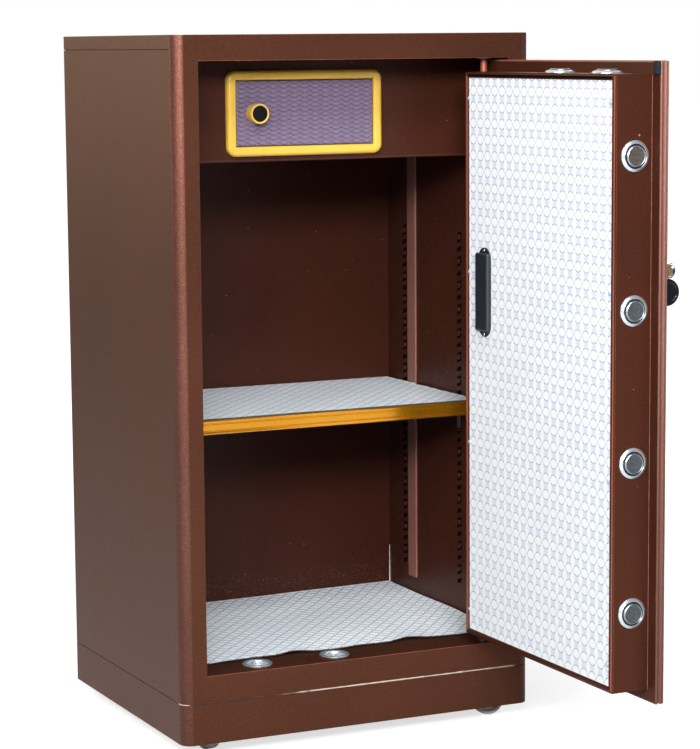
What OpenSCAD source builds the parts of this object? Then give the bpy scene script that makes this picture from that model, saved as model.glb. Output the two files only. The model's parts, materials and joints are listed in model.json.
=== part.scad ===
// Fireproof office safe: a double-walled steel body on casters, an inset door with
// sliding bolts on three sides, an inner locker with its own door, and a shelf.
// Millimetres. X runs to the right, Y to the back and Z up. The origin is on the
// floor under the middle of the body. The door is drawn open at a right angle.

/* [Body] */
// Width of the body
body_w = 560; // [540:1:640]
// Depth of the body
body_d = 450; // [430:1:560]
// Height of the body, plinth included, casters not
body_h = 1000; // [980:1:1100]
// Radius of the two upright front corners
corner_r = 17; // [10:0.5:20]
// Height of the plinth
plinth_h = 60; // [56:1:80]
// Thickness of the outer sheet steel
sheet_t = 2.5; // [2:0.1:3]
// Gap that shows between the plinth and the body
seam_gap = 0.8; // [0.4:0.1:1]
// Height of the folded edge of the top cover
skirt_h = 20; // [12:1:30]
// Thickness of the two side walls
side_wall = 20; // [18:0.5:24]
// Thickness of the back wall
back_wall = 22; // [18:0.5:40]
// Thickness of the inner sheet steel
liner_t = 1.5; // [1:0.1:2]
// Diameter of the four anchor holes in the floor
anchor_d = 14; // [10:0.5:18]
// Distance between the anchor holes from left to right
anchor_x = 300; // [200:5:320]
// Distance between the anchor holes from front to back
anchor_y = 200; // [150:5:230]

/* [Door opening] */
// Width of the frame beside the door
stile_w = 37; // [36:0.5:42]
// Height of the frame above the door
header_h = 36; // [32:0.5:44]
// Height of the frame between the plinth and the door
sill_h = 39; // [34:0.5:46]
// Depth of the sill and of the header behind the front
frame_depth = 62; // [62:1:70]
// Depth of the folded edge on the lock side
return_depth = 16; // [10:0.5:18]

/* [Casters] */
// Clearance under the plinth
floor_gap = 22; // [18:1:30]
// Diameter of a caster's wheel
wheel_d = 50; // [46:1:52]
// Width of a caster's wheel
wheel_w = 18; // [14:1:20]
// Distance from a caster's swivel to its wheel's axle
caster_trail = 13; // [10:0.5:14]
// Distance from the side of the body to a caster's swivel
caster_in_x = 61; // [58:1:80]
// Distance from the front or back of the body to a caster's swivel
caster_in_y = 44; // [44:1:70]

/* [Shelf] */
// Height of the lowest slot over the sill
slot_first = 55; // [40:1:70]
// Distance from one slot to the next
slot_pitch = 37; // [34:0.5:44]
// Slot that the shelf's clips hang in, counted from the bottom
shelf_row = 6; // [4:1:9]
// Height of the shelf's folded edge
shelf_edge = 18; // [14:0.5:24]
// Distance from the front of the body to the shelf
shelf_in = 114; // [105:1:130]
// Distance from the front of the body to the front row of slots
slot_in = 185; // [175:1:195]
// Distance between the two rows of slots
slot_apart = 185; // [160:1:190]
// Thickness of the mat on the floor
mat_t = 4.5; // [2:0.5:6]
// Thickness of the mat on the shelf
shelf_mat_t = 2; // [1:0.5:4]

/* [Locker] */
// Height of the locker under the ceiling
locker_h = 146; // [140:1:170]
// Distance from the front of the body to the locker
locker_in = 100; // [98:1:103]
// Width of the locker's door frame
locker_w = 246; // [220:1:260]
// Height of the locker's door frame
locker_door_h = 123; // [110:1:126]
// Width of the bars of the locker's door frame
locker_rim = 14.5; // [12:0.5:18]
// Place of the locker's door to the left of the middle
locker_left = 38.5; // [20:0.5:60]
// Diameter of the locker's knob
knob_d = 25; // [20:0.5:28]
// Distance that the locker's knob stands out
knob_out = 18; // [10:0.5:19]

/* [Door] */
// Gap round the door
door_gap = 2.5; // [2:0.1:3]
// Thickness of the front plate
plate_t = 12.5; // [12:0.5:14]
// Distance that the closed front plate stands proud of the body
plate_proud = 1; // [0:0.5:1]
// Distance from the opening's edge to the hinge pin
hinge_in = 27; // [27:0.5:29]
// Distance from the front of the body to the hinge pin
hinge_back = 25; // [24:0.5:25]
// Depth of the bolt case behind the front plate
case_depth = 56; // [54:0.5:57]
// Distance from the hinge pin to the bolt case
case_hinge_in = 23; // [20:1:26]
// Distance from the front plate's lock edge to the bolt case
case_lock_in = 21; // [19:0.5:23]
// Distance from the front plate's top and bottom edges to the bolt case
case_end_in = 17; // [16:0.5:18]
// Width of the case's lip beside the patterned panel
lip_w = 9; // [7:0.5:11]
// Width of the case's lip over and under the patterned panel
lip_end_w = 6.5; // [5:0.5:9]

/* [Bolts] */
// Diameter of the bolts
bolt_d = 30; // [26:0.5:30]
// Distance that the drawn-back bolts stand out of the case
bolt_rest = 6; // [5:0.5:7]
// Distance that the bolts travel
bolt_throw = 24; // [20:0.5:24]
// Number of bolts on the lock side
bolt_count = 4; // [3:1:4]
// Distance from one bolt to the next on the lock side
bolt_pitch = 203.5; // [195:0.5:205]
// Height of the lowest bolt over the sill
bolt_first = 127.5; // [120:0.5:135]
// Distance from the door's lock edge to the top and bottom bolt that is nearer the hinge
end_bolt_near = 214.5; // [208.5:1:220.5]
// Distance from the door's lock edge to the top and bottom bolt that is farther from the hinge
end_bolt_far = 91.5; // [89.5:1:101.5]
// Angle that the handle turns
throw_angle = 70; // [60:1:76]

/* [Lock] */
// Distance from the door's lock edge to the handle's spindle
handle_u = 111.5; // [110.5:0.5:113.5]
// Height of the handle's spindle over the middle of the opening
handle_up = 151.5; // [127.5:1:167.5]
// Length of the lever from the spindle
lever_l = 80; // [60:1:84]
// Height of the lever
lever_h = 22; // [18:1:22]
// Distance from the door's lock edge to the key cylinder
key_u = 51.5; // [46.5:1:56.5]
// Distance from the handle's spindle down to the key cylinder
key_down = 30.5; // [30.5:0.5:40]
// Radius of the key's bow
bow_r = 18.5; // [14:0.5:19]
// Width of the lock panel on the door's front
panel_w = 130; // [126:1:132]
// Height of the lock panel
panel_h = 240; // [230:1:260]
// Width of the battery case on the back of the door
battery_w = 37; // [28:1:40]
// Length of the battery case
battery_l = 113; // [90:1:130]
// Height of the battery case over the middle of the opening
battery_up = 98.5; // [60:0.5:120]
// Distance from the hinge pin to the middle of the battery case
battery_u = 80.5; // [70:0.5:120]

/* [Hidden] */
$fn = 48;

// Small clearances
touch = 0.01;
through = 1;
fit_gap = 0.05;
rest_gap = 0.3;
slip_gap = 0.5;

// Colours
brown = [0.33, 0.17, 0.13];
dark_brown = [0.22, 0.12, 0.09];
cement = [0.72, 0.70, 0.66];
pattern_white = [0.92, 0.92, 0.95];
amber = [0.83, 0.55, 0.12];
yellow = [0.95, 0.74, 0.16];
violet = [0.44, 0.36, 0.47];
black = [0.07, 0.07, 0.08];
chrome = [0.80, 0.82, 0.84];
steel = [0.60, 0.61, 0.62];
nylon = [0.93, 0.93, 0.92];

// Body
front_y = -body_d / 2;
back_y = body_d / 2;
side_x = body_w / 2;
base_z = floor_gap;
seam_z = base_z + plinth_h;
top_z = base_z + body_h;
sill_z = seam_z + sill_h;
head_z = top_z - header_h;
middle_z = (sill_z + head_z) / 2;
open_x = side_x - stile_w;
room_x = side_x - side_wall;
room_back = back_y - back_wall;
floor_low = sill_z - sheet_t;
floor_top = floor_low + liner_t;
ceiling_top = head_z + sheet_t;
ceiling_low = ceiling_top - liner_t;
inner_x = side_x - sheet_t;
inner_back_y = back_y - sheet_t;
base_t = 3;
rear_r = 4;

// Casters, seen from above: each one's side, its end and the way it trails
CASTERS = [[1, -1, 0], [-1, -1, 100], [1, 1, 80], [-1, 1, 130]];
caster_x = side_x - caster_in_x;
caster_y = back_y - caster_in_y;
axle_d = 6;
kingpin_d = 8;
kingpin_head_d = 14;
kingpin_head_t = 3;
caster_head = 16.5;
caster_h = wheel_d + caster_head;
caster_plate_t = 2.5;
caster_plate_w = 52;
caster_plate_r = 6;
fork_t = 3;
fork_leg_w = 24;
leg_front = 8;
leg_back = 15;
leg_shoulder = 4;
leg_slope = 6;
crown_t = 6;
crown_d = 40;
wheel_side_gap = 1;
wheel_hub_r = 9.05;
wheel_hub_edge = 1;
wheel_web_in = 3;
wheel_tread_h = 8;
wheel_tread_in = 1;
wheel_shoulder_h = 5;
wheel_edge = 2;
crown_top = caster_h - caster_plate_t - rest_gap;

// Shelf
strip_w = 28;
strip_t = 3;
strip_in = 328;
strip_end = 33;
slot_w = 12;
slot_h = 2.5;
slot_tilt = 20;
bridge_w = 11;
bridge_apart = 10;
bridge_up = 18.5;
slots_end = 115;
strip_top_gap = 10;
locker_z = ceiling_low - locker_h;
slot_count = floor((locker_z - sill_z - slot_first - slots_end) / slot_pitch) + 1;
clip_w = 9;
clip_t = 2;
clip_rise = 29;
clip_under = 4;
clip_reach = 10;
clip_tab = 1.5;
clip_slot_z = sill_z + slot_first + shelf_row * slot_pitch + bridge_up + bridge_apart / 2;
shelf_low = clip_slot_z + clip_rise;
shelf_top = shelf_low + shelf_edge;
shelf_gap = 1;
shelf_x = room_x - shelf_gap - slip_gap;
shelf_front = front_y + shelf_in;
trim_t = 4;
trim_drop = 3;
trim_foot = 8;
trim_low_r = 1.5;
trim_top_r = 1;
groove_deep = 1;
groove_down = 5.5;
groove_w = 1.6;
low_groove_up = 4;
low_groove_w = 1.2;
mat_gap = 3;
mat_front_gap = 1;

// Locker
locker_y = front_y + locker_in;
frame_out = 9;
rim_t = 3;
rim_back = 1.5;
locker_drop = 4;
locker_frame_r = 14;
locker_mid_z = locker_z + locker_h / 2 - locker_drop;
locker_mid_x = -locker_left;
leaf_gap = 0.6;
leaf_t = 3;
leaf_in = 3;
leaf_w = locker_w - 2 * locker_rim - 2 * leaf_gap;
leaf_h = locker_door_h - 2 * locker_rim - 2 * leaf_gap;
leaf_y = locker_y - frame_out + leaf_in;
locker_hinge_in = 5.5;
locker_hinge_x = locker_mid_x + locker_w / 2 - locker_rim - locker_hinge_in;
locker_hinge_y = leaf_y + leaf_t / 2;
locker_pin_d = 3;
locker_pin_l = 6;
locker_pin_end = 1;
knob_in = 29;
knob_sunk = 0.5;
knob_x = locker_mid_x - leaf_w / 2 + knob_in;
knob_spindle_d = 8;
collar_wall = 2;
cam_reach = 38;
cam_w = 14;
cam_t = 2;
locker_cam_y = locker_y + liner_t + rim_back + slip_gap;

// Door, in its own frame: x runs from the hinge pin to the lock edge, y out of the front
hinge_x = open_x - hinge_in;
hinge_y = front_y + hinge_back;
plate_out = hinge_back + plate_proud;
plate_rear = plate_out - plate_t;
plate_near = door_gap - hinge_in;
plate_far = hinge_x + open_x - door_gap;
plate_end_gap = door_gap + slip_gap;
plate_low = sill_z + plate_end_gap;
plate_top = head_z - plate_end_gap;
plate_swing_r = 5.5;
plate_edge_r = 2;
case_near = case_hinge_in;
case_far = plate_far - case_lock_in;
case_low = plate_low + case_end_in;
case_top = plate_top - case_end_in;
case_in = plate_rear - case_depth;
case_t = 1.5;
liner_in = 3.5;
ledge_w = 10;
liner_gap = 0.8;
liner_near = case_near + lip_w + liner_gap;
liner_far = case_far - lip_w - liner_gap;
liner_low = case_low + lip_end_w + liner_gap;
liner_top = case_top - lip_end_w - liner_gap;
liner_sunk = 0.5;
liner_face = case_in + liner_sunk;
clip_inset = 30;
clip_rows = 4;
clip_head_d = 6;
clip_edge = clip_head_d / 2 - liner_gap + rest_gap;
clip_head_t = 1.4;
clip_boss_d = 3.5;
clip_boss_t = 0.8;
battery_z = middle_z + battery_up;
battery_corner_r = 1;
battery_t = 6;
battery_base_t = 1.5;
battery_end = 8;
bracket_t = 8;
bracket_r = 9;
lower_pin_d = 12;
upper_pin_d = 10;
pin_deep = 8;
bush_wall = 3;
bush_flange = 1.2;
bush_flange_w = 2;
bush_floor = 1;

// Bolts
bolt_y = -13;
bolt_l = 46;
side_bolt_l = 40.5;
bolt_bevel = 1.5;
flange_d = bolt_d + 14;
flange_t = 4;
flange_foot = 0.8;
flange_rim = 0.8;
sleeve_d = bolt_d + 4;
sleeve_in = 4;
cup_flange_d = bolt_d + 14;
cup_flange_t = 1.2;
cup_d = bolt_d + 6;
cup_bore_d = bolt_d + 2;
cup_deep = 14;
cup_floor = 1.5;
bar_t = 6;
bar_w = 26;
side_bar_far = case_far + bolt_rest - side_bolt_l;
end_bar_in = bolt_l + bar_t - bolt_rest;
end_bolts = [plate_far - end_bolt_near, plate_far - end_bolt_far];
link_t = 4;
link_edge = 8;

// Handle and cam
spindle_u = plate_far - handle_u;
handle_z = middle_z + handle_up;
spindle_d = 12;
crank_r = bolt_throw / (2 * sin(throw_angle / 2));
drive_pin_d = 6;
drive_slip = 0.7;
cam_rim = 9;
cam_r = crank_r + cam_rim;
cam_near_y = -15;
cam_disc_t = 5;
pin_up_u = crank_r * cos(throw_angle / 2);
pin_lag = crank_r * sin(throw_angle / 2);
slot_half = drive_pin_d / 2 + drive_slip;
panel_t = 8.5;
panel_r = 12;
panel_in = 85.5;
panel_u = plate_far - panel_in;
panel_up = 55;
panel_mid_z = handle_z + panel_up;
panel_y = plate_out + panel_t;
hub_d = 36;
hub_y = panel_y + slip_gap;
hub_t = 22;
lever_t = 16;
lever_y = hub_y + hub_t - lever_t;
cylinder_d = 22;
cylinder_flange_d = 26;
cylinder_flange_t = 3;
cylinder_inner = 2;
plug_d = 14;
cylinder_u = plate_far - key_u;
key_z = handle_z - key_down;
bow_t = 9;
bow_rim = 4;
bow_dish = 1;
bow_edge = 1;
blade_w = 8;
blade_t = 2.2;
keypad_w = 92;
keypad_h = 96;
keypad_t = 2;
keypad_up = 112;
keypad_r = 6;
lock_case_w = 60;
lock_case_up = 50;
lock_case_h = 90;
lock_case_in = -9;

module slab(x, y, z) {
    translate([x[0], y[0], z[0]])
        cube([x[1] - x[0], y[1] - y[0], z[1] - z[0]]);
}

// Rectangle with its own radius at each corner, from the low corner round to the left
module rounded_plan(x, y, r) {
    difference() {
        translate([x[0], y[0]])
            square([x[1] - x[0], y[1] - y[0]]);
        corner_cut([x[0], y[0]], 0, r[0]);
        corner_cut([x[1], y[0]], 90, r[1]);
        corner_cut([x[1], y[1]], 180, r[2]);
        corner_cut([x[0], y[1]], 270, r[3]);
    }
}

// What rounding takes off a corner that is turned by the angle
module corner_cut(corner, angle, r) {
    if (r > 0)
        translate(corner)
            rotate(angle)
                difference() {
                    translate([-through, -through])
                        square(r + through);
                    translate([r, r])
                        circle(r);
                }
}

module rounded_block(x, y, z, r) {
    translate([0, 0, z[0]])
        linear_extrude(z[1] - z[0])
            rounded_plan(x, y, [r, r, r, r]);
}

// Places a part that is drawn in the door's own frame
module on_door() {
    translate([hinge_x, hinge_y, 0])
        rotate([0, 0, -90])
            children();
}

// Upright rectangle on the door: u along the door, z up, y through it
module door_tile(u, y, z, r) {
    translate([0, y[1], 0])
        rotate([90, 0, 0])
            linear_extrude(y[1] - y[0])
                rounded_plan(u, z, [r, r, r, r]);
}

module rod_y(d, y) {
    translate([0, y[1], 0])
        rotate([90, 0, 0])
            cylinder(d = d, h = y[1] - y[0]);
}

// Front strip of the body's outline, drawn in by the inset
module band_plan(inset, depth) {
    r = corner_r - inset;
    intersection() {
        rounded_plan([inset - side_x, side_x - inset], [front_y + inset, back_y], [r, r, 0, 0]);
        translate([-side_x, front_y])
            square([body_w, depth]);
    }
}

module at_end_bolts() {
    for (u = end_bolts)
        translate([hinge_x - u, hinge_y - bolt_y, 0])
            children();
}

module at_anchors() {
    for (sx = [-1, 1])
        for (sy = [-1, 1])
            translate([sx * anchor_x / 2, sy * anchor_y / 2, 0])
                children();
}

// Front, sill, header and lock-side return, pressed from one sheet
module front_frame() {
    fold_y = front_y + sheet_t - touch;
    deep_y = [fold_y, front_y + frame_depth];
    color(brown)
        difference() {
            union() {
                difference() {
                    translate([0, 0, seam_z])
                        linear_extrude(top_z - seam_z)
                            band_plan(0, corner_r);
                    translate([0, 0, seam_z - through])
                        linear_extrude(top_z - sheet_t - seam_z + through)
                            band_plan(sheet_t, corner_r + through);
                    slab([-open_x, open_x], [front_y - through, fold_y + through], [sill_z, head_z]);
                }
                slab([-open_x - sheet_t, -open_x], [fold_y, front_y + return_depth],
                    [floor_low, ceiling_top]);
                slab([-room_x, room_x], deep_y, [floor_low, sill_z]);
                slab([-room_x, room_x], deep_y, [head_z, ceiling_top]);
            }
            at_end_bolts() {
                translate([0, 0, floor_low - through])
                    cylinder(d = cup_d, h = sheet_t + 2 * through);
                translate([0, 0, head_z - through])
                    cylinder(d = cup_d, h = sheet_t + 2 * through);
            }
            translate([hinge_x, hinge_y, floor_low - through])
                cylinder(d = lower_pin_d + 2 * bush_wall, h = sheet_t + 2 * through);
            translate([hinge_x, hinge_y, head_z - through])
                cylinder(d = upper_pin_d + 2 * bush_wall, h = sheet_t + 2 * through);
        }
}

module body_wrap() {
    wrap_top = top_z - skirt_h - seam_gap;
    color(brown)
        translate([0, 0, seam_z])
            linear_extrude(wrap_top - seam_z)
                difference() {
                    rounded_plan([-side_x, side_x], [front_y + corner_r, back_y], [0, 0, rear_r, rear_r]);
                    rounded_plan([-inner_x, inner_x], [front_y + corner_r - through, inner_back_y],
                        [0, 0, rear_r - sheet_t, rear_r - sheet_t]);
                }
}

module top_cover() {
    cover_front = front_y + corner_r + seam_gap / 2;
    color(brown)
        difference() {
            translate([0, 0, top_z - skirt_h])
                linear_extrude(skirt_h)
                    rounded_plan([-side_x, side_x], [cover_front, back_y], [0, 0, rear_r, rear_r]);
            translate([0, 0, top_z - skirt_h - through])
                linear_extrude(skirt_h - sheet_t + through)
                    rounded_plan([-inner_x, inner_x], [cover_front - through, inner_back_y],
                        [0, 0, rear_r - sheet_t, rear_r - sheet_t]);
        }
}

module plinth() {
    inner_r = corner_r - sheet_t;
    color(brown)
        translate([0, 0, base_z])
            linear_extrude(plinth_h - seam_gap)
                difference() {
                    rounded_plan([-side_x, side_x], [front_y, back_y], [corner_r, corner_r, rear_r, rear_r]);
                    rounded_plan([-inner_x, inner_x], [front_y + sheet_t, inner_back_y],
                        [inner_r, inner_r, rear_r - sheet_t, rear_r - sheet_t]);
                }
}

module base_plate() {
    inner_r = corner_r - sheet_t;
    color(dark_brown)
        difference() {
            translate([0, 0, caster_h])
                linear_extrude(base_t)
                    rounded_plan([-inner_x, inner_x], [front_y + sheet_t, inner_back_y],
                        [inner_r, inner_r, rear_r - sheet_t, rear_r - sheet_t]);
            at_anchors()
                translate([0, 0, caster_h - through])
                    cylinder(d = anchor_d, h = base_t + 2 * through);
        }
}

module fire_filling() {
    inner_r = corner_r - sheet_t;
    low = caster_h + base_t;
    wall_in = room_x + liner_t;
    color(cement)
        difference() {
            translate([0, 0, low])
                linear_extrude(top_z - sheet_t - low)
                    rounded_plan([-inner_x, inner_x], [front_y + sheet_t, inner_back_y],
                        [inner_r, inner_r, rear_r - sheet_t, rear_r - sheet_t]);
            slab([-wall_in, wall_in], [front_y, room_back + liner_t], [floor_low, ceiling_top]);
            at_end_bolts() {
                translate([0, 0, sill_z - cup_deep])
                    cylinder(d = cup_d, h = cup_deep);
                translate([0, 0, head_z])
                    cylinder(d = cup_d, h = cup_deep);
            }
            translate([hinge_x, hinge_y, sill_z - pin_deep])
                cylinder(d = lower_pin_d + 2 * bush_wall, h = pin_deep);
            translate([hinge_x, hinge_y, head_z])
                cylinder(d = upper_pin_d + 2 * bush_wall, h = pin_deep);
            at_anchors()
                translate([0, 0, low - through])
                    cylinder(d = anchor_d, h = floor_low - low + 2 * through);
        }
}

module side_slots() {
    cut = [-through, liner_t + through];
    bridge_y = [-bridge_w / 2, bridge_w / 2];
    for (row = [0:1])
        for (i = [0:slot_count - 1])
            translate([0, front_y + slot_in + row * slot_apart, sill_z + slot_first + i * slot_pitch]) {
                rotate([slot_tilt, 0, 0])
                    slab(cut, [-slot_w / 2, slot_w / 2], [-slot_h / 2, slot_h / 2]);
                for (s = [-1, 1])
                    translate([0, 0, bridge_up + s * bridge_apart / 2])
                        slab(cut, bridge_y, [-slot_h / 2, slot_h / 2]);
            }
}

module inner_side_sheet() {
    wall_y = [front_y + sheet_t, room_back + liner_t];
    color(dark_brown)
        difference() {
            slab([room_x, room_x + liner_t], wall_y, [floor_low, ceiling_top]);
            translate([room_x, 0, 0])
                side_slots();
        }
}

module inner_side_right() {
    inner_side_sheet();
}

module inner_side_left() {
    mirror([1, 0, 0])
        inner_side_sheet();
}

// Back and ceiling, folded from one sheet
module inner_back() {
    color(dark_brown) {
        slab([-room_x, room_x], [room_back, room_back + liner_t], [floor_low, ceiling_top]);
        slab([-room_x, room_x], [front_y + frame_depth, room_back + touch], [ceiling_low, ceiling_top]);
    }
}

module inner_floor() {
    color(dark_brown)
        difference() {
            slab([-room_x, room_x], [front_y + frame_depth, room_back], [floor_low, floor_top]);
            at_anchors()
                translate([0, 0, floor_low - through])
                    cylinder(d = anchor_d, h = liner_t + 2 * through);
        }
}

module wall_strips() {
    low = sill_z + strip_end;
    strip_y = front_y + strip_in;
    r = strip_t / 2;
    color(brown)
        for (s = [0, 1])
            mirror([s, 0, 0])
                translate([0, 0, low])
                    linear_extrude(locker_z - strip_top_gap - low)
                        rounded_plan([room_x - strip_t, room_x], [strip_y, strip_y + strip_w], [r, 0, 0, r]);
}

module shelf_clip() {
    y = [-clip_w / 2, clip_w / 2];
    tab_z = [clip_slot_z - clip_tab / 2, clip_slot_z + clip_tab / 2];
    color(steel) {
        slab([room_x - clip_t, room_x], y, [clip_slot_z - clip_under, shelf_low]);
        slab([room_x - clip_reach, room_x - clip_t + touch], y, [shelf_low - clip_t, shelf_low]);
        slab([room_x - touch, room_x + liner_t], y, tab_z);
    }
}

module shelf_clips() {
    for (s = [0, 1])
        mirror([s, 0, 0])
            for (row = [0:1])
                translate([0, front_y + slot_in + row * slot_apart, 0])
                    shelf_clip();
}

// Notches that clear the wall strips by the gap
module strip_notches(gap, z) {
    strip_y = front_y + strip_in;
    for (s = [-1, 1])
        translate([s * room_x, 0, 0])
            slab([-strip_t - gap, strip_t + gap], [strip_y - gap, strip_y + strip_w + gap],
                [z[0] - through, z[1] + through]);
}

module shelf() {
    y = [shelf_front + trim_t, room_back - shelf_gap];
    color(dark_brown)
        difference() {
            slab([-shelf_x, shelf_x], y, [shelf_low, shelf_top]);
            slab([liner_t - shelf_x, shelf_x - liner_t], [y[0] + liner_t, y[1] - liner_t],
                [shelf_low - through, shelf_top - liner_t]);
            strip_notches(shelf_gap, [shelf_low, shelf_top]);
        }
}

module shelf_trim() {
    low = shelf_low - trim_drop;
    color(amber)
        translate([-shelf_x, shelf_front, 0])
            rotate([90, 0, 90])
                linear_extrude(2 * shelf_x)
                    difference() {
                        union() {
                            rounded_plan([0, trim_t], [low, shelf_top], [trim_low_r, 0, 0, trim_top_r]);
                            translate([0, low])
                                square([trim_t + trim_foot, trim_drop]);
                        }
                        translate([-through, shelf_top - groove_down])
                            square([through + groove_deep, groove_w]);
                        translate([-through, low + low_groove_up])
                            square([through + groove_deep, low_groove_w]);
                    }
}

module shelf_mat() {
    color(pattern_white)
        difference() {
            slab([mat_gap - shelf_x, shelf_x - mat_gap],
                [shelf_front + trim_t + mat_front_gap, room_back - mat_gap],
                [shelf_top, shelf_top + shelf_mat_t]);
            strip_notches(mat_gap, [shelf_top, shelf_top + shelf_mat_t]);
        }
}

module floor_mat() {
    color(pattern_white)
        difference() {
            slab([mat_gap - room_x, room_x - mat_gap],
                [front_y + frame_depth + mat_front_gap, room_back - mat_gap],
                [floor_top, floor_top + mat_t]);
            strip_notches(mat_front_gap, [floor_top, floor_top + mat_t]);
        }
}

// Steel cup that a top or bottom bolt enters, with its mouth up
module bolt_cup() {
    difference() {
        union() {
            translate([0, 0, -cup_deep])
                cylinder(d = cup_d, h = cup_deep);
            cylinder(d = cup_flange_d, h = cup_flange_t);
        }
        translate([0, 0, cup_floor - cup_deep])
            cylinder(d = cup_bore_d, h = cup_deep + cup_flange_t);
    }
}

module bolt_cups() {
    color(chrome)
        at_end_bolts() {
            translate([0, 0, sill_z])
                bolt_cup();
            translate([0, 0, head_z])
                mirror([0, 0, 1])
                    bolt_cup();
        }
}

module hinge_bush(pin_d) {
    difference() {
        union() {
            translate([0, 0, -pin_deep])
                cylinder(d = pin_d + 2 * bush_wall, h = pin_deep);
            cylinder(d = pin_d + 2 * bush_wall + 2 * bush_flange_w, h = bush_flange);
        }
        translate([0, 0, bush_floor - pin_deep])
            cylinder(d = pin_d + 2 * fit_gap, h = pin_deep + bush_flange);
    }
}

module hinge_bushes() {
    color(chrome)
        translate([hinge_x, hinge_y, 0]) {
            translate([0, 0, sill_z])
                hinge_bush(lower_pin_d);
            translate([0, 0, head_z])
                mirror([0, 0, 1])
                    hinge_bush(upper_pin_d);
        }
}

module locker_hole(grow, y) {
    w = locker_w / 2 - locker_rim + grow;
    h = locker_door_h / 2 - locker_rim + grow;
    slab([locker_mid_x - w, locker_mid_x + w], y, [locker_mid_z - h, locker_mid_z + h]);
}

module locker_front() {
    color(brown)
        difference() {
            slab([-room_x, room_x], [locker_y, locker_y + liner_t], [locker_z, ceiling_low]);
            locker_hole(rim_t, [locker_y - through, locker_y + liner_t + through]);
        }
}

module locker_floor() {
    color(brown)
        slab([-room_x, room_x], [locker_y + liner_t, room_back], [locker_z, locker_z + liner_t]);
}

module locker_frame() {
    pin_reach = leaf_h / 2 + locker_pin_l + locker_pin_end;
    color(yellow)
        difference() {
            union() {
                translate([0, locker_y, 0])
                    rotate([90, 0, 0])
                        linear_extrude(frame_out)
                            rounded_plan([locker_mid_x - locker_w / 2, locker_mid_x + locker_w / 2],
                                [locker_mid_z - locker_door_h / 2, locker_mid_z + locker_door_h / 2],
                                [locker_frame_r, locker_frame_r, locker_frame_r, locker_frame_r]);
                locker_hole(rim_t, [locker_y - touch, locker_y + liner_t + rim_back]);
            }
            locker_hole(0, [locker_y - frame_out - through, locker_y + liner_t + rim_back + through]);
            translate([locker_hinge_x, locker_hinge_y, locker_mid_z - pin_reach])
                cylinder(d = locker_pin_d + 2 * fit_gap, h = 2 * pin_reach);
        }
}

module locker_panel() {
    left = locker_mid_x - leaf_w / 2;
    low = locker_mid_z - leaf_h / 2;
    color(violet)
        difference() {
            union() {
                slab([left, left + leaf_w], [leaf_y, leaf_y + leaf_t], [low, low + leaf_h]);
                for (z = [low - locker_pin_l, low + leaf_h])
                    translate([locker_hinge_x, locker_hinge_y, z])
                        cylinder(d = locker_pin_d, h = locker_pin_l);
            }
            translate([knob_x, 0, locker_mid_z])
                rod_y(knob_spindle_d + 2 * fit_gap, [leaf_y - through, leaf_y + leaf_t + through]);
        }
}

module locker_collar() {
    color(yellow)
        translate([knob_x, 0, locker_mid_z])
            difference() {
                rod_y(knob_d + 2 * collar_wall, [leaf_y - knob_out, leaf_y]);
                rod_y(knob_d + 2 * fit_gap, [leaf_y - knob_out - through, leaf_y + through]);
            }
}

module locker_knob() {
    color(black)
        translate([knob_x, 0, locker_mid_z]) {
            rod_y(knob_d, [leaf_y - knob_out + knob_sunk, leaf_y - slip_gap]);
            rod_y(knob_spindle_d, [leaf_y - slip_gap - touch, locker_cam_y + cam_t]);
        }
}

module locker_cam() {
    color(steel)
        translate([knob_x, 0, locker_mid_z])
            difference() {
                union() {
                    rod_y(cam_w, [locker_cam_y, locker_cam_y + cam_t]);
                    slab([-cam_w / 2, cam_w / 2], [locker_cam_y, locker_cam_y + cam_t], [0, cam_reach]);
                }
                rod_y(knob_spindle_d, [locker_cam_y - through, locker_cam_y + cam_t + through]);
            }
}

// Runs through the casters' places with each one turned the way it trails
module at_caster(i) {
    translate([CASTERS[i][0] * caster_x, CASTERS[i][1] * caster_y, 0])
        rotate([0, 0, CASTERS[i][2]])
            children();
}

module caster_plates() {
    half = caster_plate_w / 2;
    color(steel)
        for (i = [0:3])
            translate([CASTERS[i][0] * caster_x, CASTERS[i][1] * caster_y, 0]) {
                rounded_block([-half, half], [-half, half], [caster_h - caster_plate_t, caster_h],
                    caster_plate_r);
                translate([0, 0, crown_top - crown_t - rest_gap])
                    cylinder(d = kingpin_d, h = caster_plate_t + crown_t + 2 * rest_gap);
                translate([0, 0, crown_top - crown_t - rest_gap - kingpin_head_t])
                    cylinder(d = kingpin_head_d, h = kingpin_head_t + touch);
            }
}

module caster_fork() {
    leg_in = wheel_w / 2 + wheel_side_gap;
    color(steel) {
        difference() {
            translate([0, 0, crown_top - crown_t])
                cylinder(d = crown_d, h = crown_t);
            translate([0, 0, crown_top - crown_t - through])
                cylinder(d = kingpin_d + 2 * fit_gap, h = crown_t + 2 * through);
        }
        for (s = [-1, 1])
            translate([0, s * (leg_in + fork_t / 2) + fork_t / 2, 0])
                rotate([90, 0, 0])
                    linear_extrude(fork_t)
                        fork_leg();
        translate([caster_trail, 0, wheel_d / 2])
            rod_y(axle_d, [-leg_in - touch, leg_in + touch]);
    }
}

module fork_leg() {
    top = crown_top - crown_t + touch;
    polygon([[-leg_front, top], [-leg_front, top - leg_shoulder],
        [caster_trail - fork_leg_w / 2, wheel_d / 2], [caster_trail + fork_leg_w / 2, wheel_d / 2],
        [caster_trail + leg_shoulder, top - leg_slope], [leg_back, top]]);
    translate([caster_trail, wheel_d / 2])
        circle(d = fork_leg_w);
}

module caster_wheel() {
    color(nylon)
        translate([caster_trail, 0, wheel_d / 2])
            rotate([90, 0, 0])
                rotate_extrude()
                    translate([axle_d / 2 + fit_gap, 0])
                        wheel_section();
}

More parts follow.
